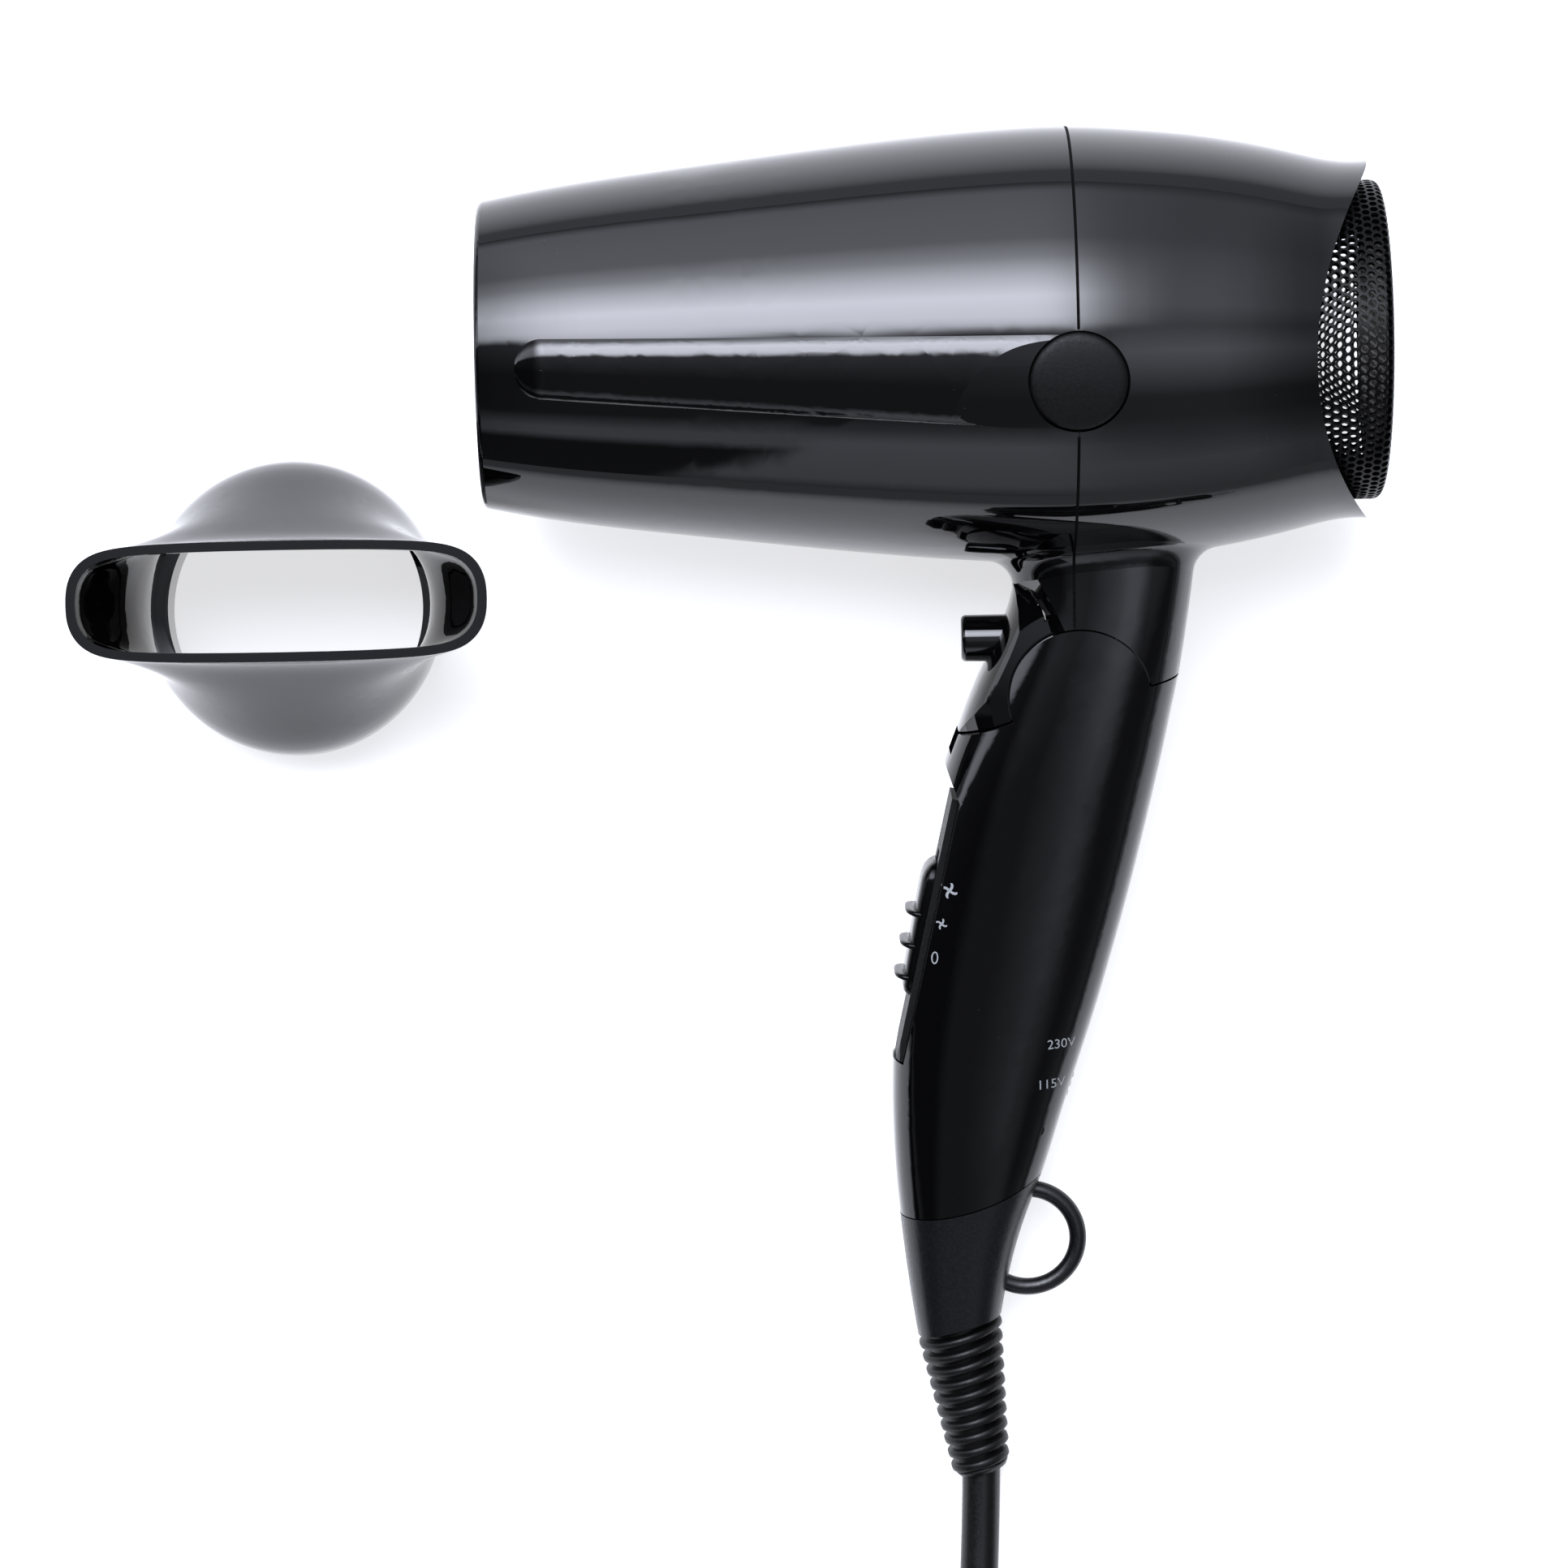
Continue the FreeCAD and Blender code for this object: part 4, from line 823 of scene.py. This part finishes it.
for side, node in ((1, "side_cap_upper"), (-1, "side_cap_lower")):
    cap = cap_mesh(node + "_dome", side)
    shade_by_angle(cap, 60.0)
    dress(cap, FINISHES["matte_black"])
    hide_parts(node)
    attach(cap, "barrel")

SEAM_HALF = 0.26
SEAM_LIFT = 0.03
# the joint runs round the barrel between these angles, then straight down the neck
SEAM_ARC = range(-43, 224, 2)
NECK_SEAM_TOP = -26.5
NECK_SEAM_STEP = 0.6
NECK_SEAM_STEPS = 38
housings = [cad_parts["front_housing"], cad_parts["rear_housing"]]


def on_housing(x, start, aim):
    """Where a ray in the dryer's frame meets one of the housings, lifted a little."""
    target = housings[0] if x < 0.0 else housings[1]
    origin = place(x, *start)
    direction = place(x, *aim) - origin
    hit, where, normal, face = target.ray_cast(origin, direction.normalized())
    return where + normal * SEAM_LIFT * MM if hit else None


def seam_painted_shade():
    """A matte dark strip over the joint between the housings, round the barrel and down both sides of the
    neck: painted shade standing in for the shade in the joint's groove.
    """
    bm = bmesh.new()
    paths = []
    barrel = []
    for degrees in SEAM_ARC:
        turn = math.radians(degrees)
        away = (math.sin(turn), math.cos(turn))
        barrel.append(((60.0 * away[0], 60.0 * away[1]), (30.0 * away[0], 30.0 * away[1])))
    paths.append(barrel)
    for side in (1, -1):
        levels = [NECK_SEAM_TOP - NECK_SEAM_STEP * step for step in range(NECK_SEAM_STEPS)]
        paths.append([((level, side * 60.0), (level, side * 5.0)) for level in levels])
    for path in paths:
        before = None
        for start, aim in path:
            pair = [on_housing(x, start, aim) for x in (-SEAM_HALF, SEAM_HALF)]
            if None in pair:
                before = None
                continue
            row = [bm.verts.new(point) for point in pair]
            if before:
                bm.faces.new((before[0], row[0], row[1], before[1]))
            before = row
    bmesh.ops.recalc_face_normals(bm, faces=bm.faces)
    return mesh_object("housing_seam_painted_shade", bm)


# a matte dark strip lifted just off the housings, as painted shade of the groove where they meet
seam = seam_painted_shade()
dress(seam, FINISHES["seam_black"])
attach(seam, "barrel")


# ---------------------------------------------------------------- floor and light

FLOOR_BRIGHT = 0.21
FLOOR_DIM = 0.5

floor_mesh = bmesh.new()
bmesh.ops.create_grid(floor_mesh, x_segments=1, y_segments=1, size=4.0)
floor = mesh_object("floor", floor_mesh)
floor.location = (0.0, 0.0, -0.0003)
floor_shader = Shader("floor_painted_light", (0.5, 0.5, 0.5), 0.7, Emission_Color=(0.98, 0.98, 1.0, 1.0))
# painted light: the sheet glows, which lifts the shadows on it, and it is bright under the picture; its
# colour and its glow fall off beyond it, a painted pool of light as under a lamp
floor_distance = floor_shader.node("ShaderNodeVectorMath", operation="LENGTH")
floor_shader.link(floor_shader.where, floor_distance.inputs[0])
# painted falloff of light: the base colour darkens away from the middle
beyond = floor_shader.spread(floor_distance.outputs["Value"], 0.0, 1.0, FLOOR_BRIGHT, FLOOR_DIM)
floor_shader.tint(beyond, (0.5, 0.5, 0.505), (0.15, 0.15, 0.155))
# painted glow: emission strongest near the middle and fading beyond, standing in for light and lifting the
# shadows
floor_painted_glow = floor_shader.spread(floor_distance.outputs["Value"], 0.7, 0.12, FLOOR_BRIGHT, FLOOR_DIM)
floor_shader.link(floor_painted_glow, floor_shader.main.inputs["Emission Strength"])
dress(floor, floor_shader.material)

# the studio: how bright it is by the angle from straight up towards +Y, on the left and on the right
STUDIO_LEFT = [(-180, 1.0), (-112, 0.7), (-98, 0.4), (-90, 0.4), (-84, 0.85), (-60, 1.15), (-56, 0.9),
               (-46, 0.14), (-19, 0.14), (-8, 0.35), (3.5, 0.6), (7.5, 11.0), (11, 14.0), (22, 16.0),
               (32, 11.0), (43, 5.0), (54, 2.3), (70, 2.0), (84, 1.6), (90, 0.4), (98, 0.4), (105, 0.7),
               (180, 0.9)]
STUDIO_RIGHT = [(-180, 0.8), (-112, 0.6), (-90, 0.5), (-72, 0.8), (-58, 0.5), (-45, 0.3), (-33, 0.3),
                (-20, 1.0), (-8, 1.7), (5, 1.0), (17, 1.6), (30, 1.5), (42, 1.3), (54, 1.0), (82, 0.8),
                (90, 0.42), (104, 0.42), (116, 0.6), (180, 0.7)]
# further left a dark screen stands low below the barrel
STUDIO_END = [(-180, 1.0), (-122, 0.9), (-114, 0.08), (-67, 0.08), (-62, 0.9)] + STUDIO_LEFT[6:]
STUDIO_PEAK = 16.0
STUDIO_TINT = (0.94, 0.97, 1.1)


def studio():
    """The world: soft bands of light round the barrel's axis, brighter on the left, and dim at both ends."""
    world = bpy.data.worlds.new("studio")
    bpy.context.scene.world = world
    world.use_nodes = True
    nodes = world.node_tree.nodes
    links = world.node_tree.links
    background = nodes["Background"]
    background.inputs["Strength"].default_value = STUDIO_PEAK
    where = nodes.new("ShaderNodeTexCoord")
    parts = nodes.new("ShaderNodeSeparateXYZ")
    links.new(where.outputs["Generated"], parts.inputs[0])
    angle = nodes.new("ShaderNodeMath")
    angle.operation = "ARCTAN2"
    links.new(parts.outputs["Y"], angle.inputs[0])
    links.new(parts.outputs["Z"], angle.inputs[1])
    turn = nodes.new("ShaderNodeMapRange")
    turn.inputs["From Min"].default_value = -math.pi
    turn.inputs["From Max"].default_value = math.pi
    links.new(angle.outputs[0], turn.inputs["Value"])

    def banded(stops):
        """The light's colour by the angle."""
        ramp = nodes.new("ShaderNodeValToRGB")
        elements = ramp.color_ramp.elements
        while len(elements) > 1:
            elements.remove(elements[-1])
        for index, (degrees, level) in enumerate(stops):
            position = (degrees + 180.0) / 360.0
            stop = elements[0] if index == 0 else elements.new(position)
            stop.position = position
            grey = level / STUDIO_PEAK
            stop.color = (*(grey * share for share in STUDIO_TINT), 1.0)
        links.new(turn.outputs["Result"], ramp.inputs["Fac"])
        return ramp.outputs["Color"]

    def reach(low, high, to_low=0.0, to_high=1.0):
        """A soft step over the world's X direction."""
        step = nodes.new("ShaderNodeMapRange")
        step.interpolation_type = "SMOOTHSTEP"
        for socket, value in (("From Min", low), ("From Max", high), ("To Min", to_low), ("To Max", to_high)):
            step.inputs[socket].default_value = value
        links.new(parts.outputs["X"], step.inputs["Value"])
        return step.outputs["Result"]

    def blended(share, first, second):
        """A mix of two colours."""
        mix = nodes.new("ShaderNodeMix")
        mix.data_type = "RGBA"
        links.new(share, mix.inputs["Factor"])
        links.new(first, mix.inputs["A"])
        links.new(second, mix.inputs["B"])
        return mix.outputs["Result"]

    left = blended(reach(-0.205, -0.185), banded(STUDIO_END), banded(STUDIO_LEFT))
    whole = blended(reach(-0.05, 0.27), left, banded(STUDIO_RIGHT))
    fall = nodes.new("ShaderNodeMath")
    fall.operation = "MULTIPLY"
    links.new(reach(-0.55, -0.28, 0.18, 1.0), fall.inputs[0])
    links.new(reach(0.33, 0.6, 1.0, 0.3), fall.inputs[1])
    scaled = nodes.new("ShaderNodeVectorMath")
    scaled.operation = "SCALE"
    links.new(whole, scaled.inputs[0])
    links.new(fall.outputs[0], scaled.inputs["Scale"])
    links.new(scaled.outputs[0], background.inputs["Color"])



studio()
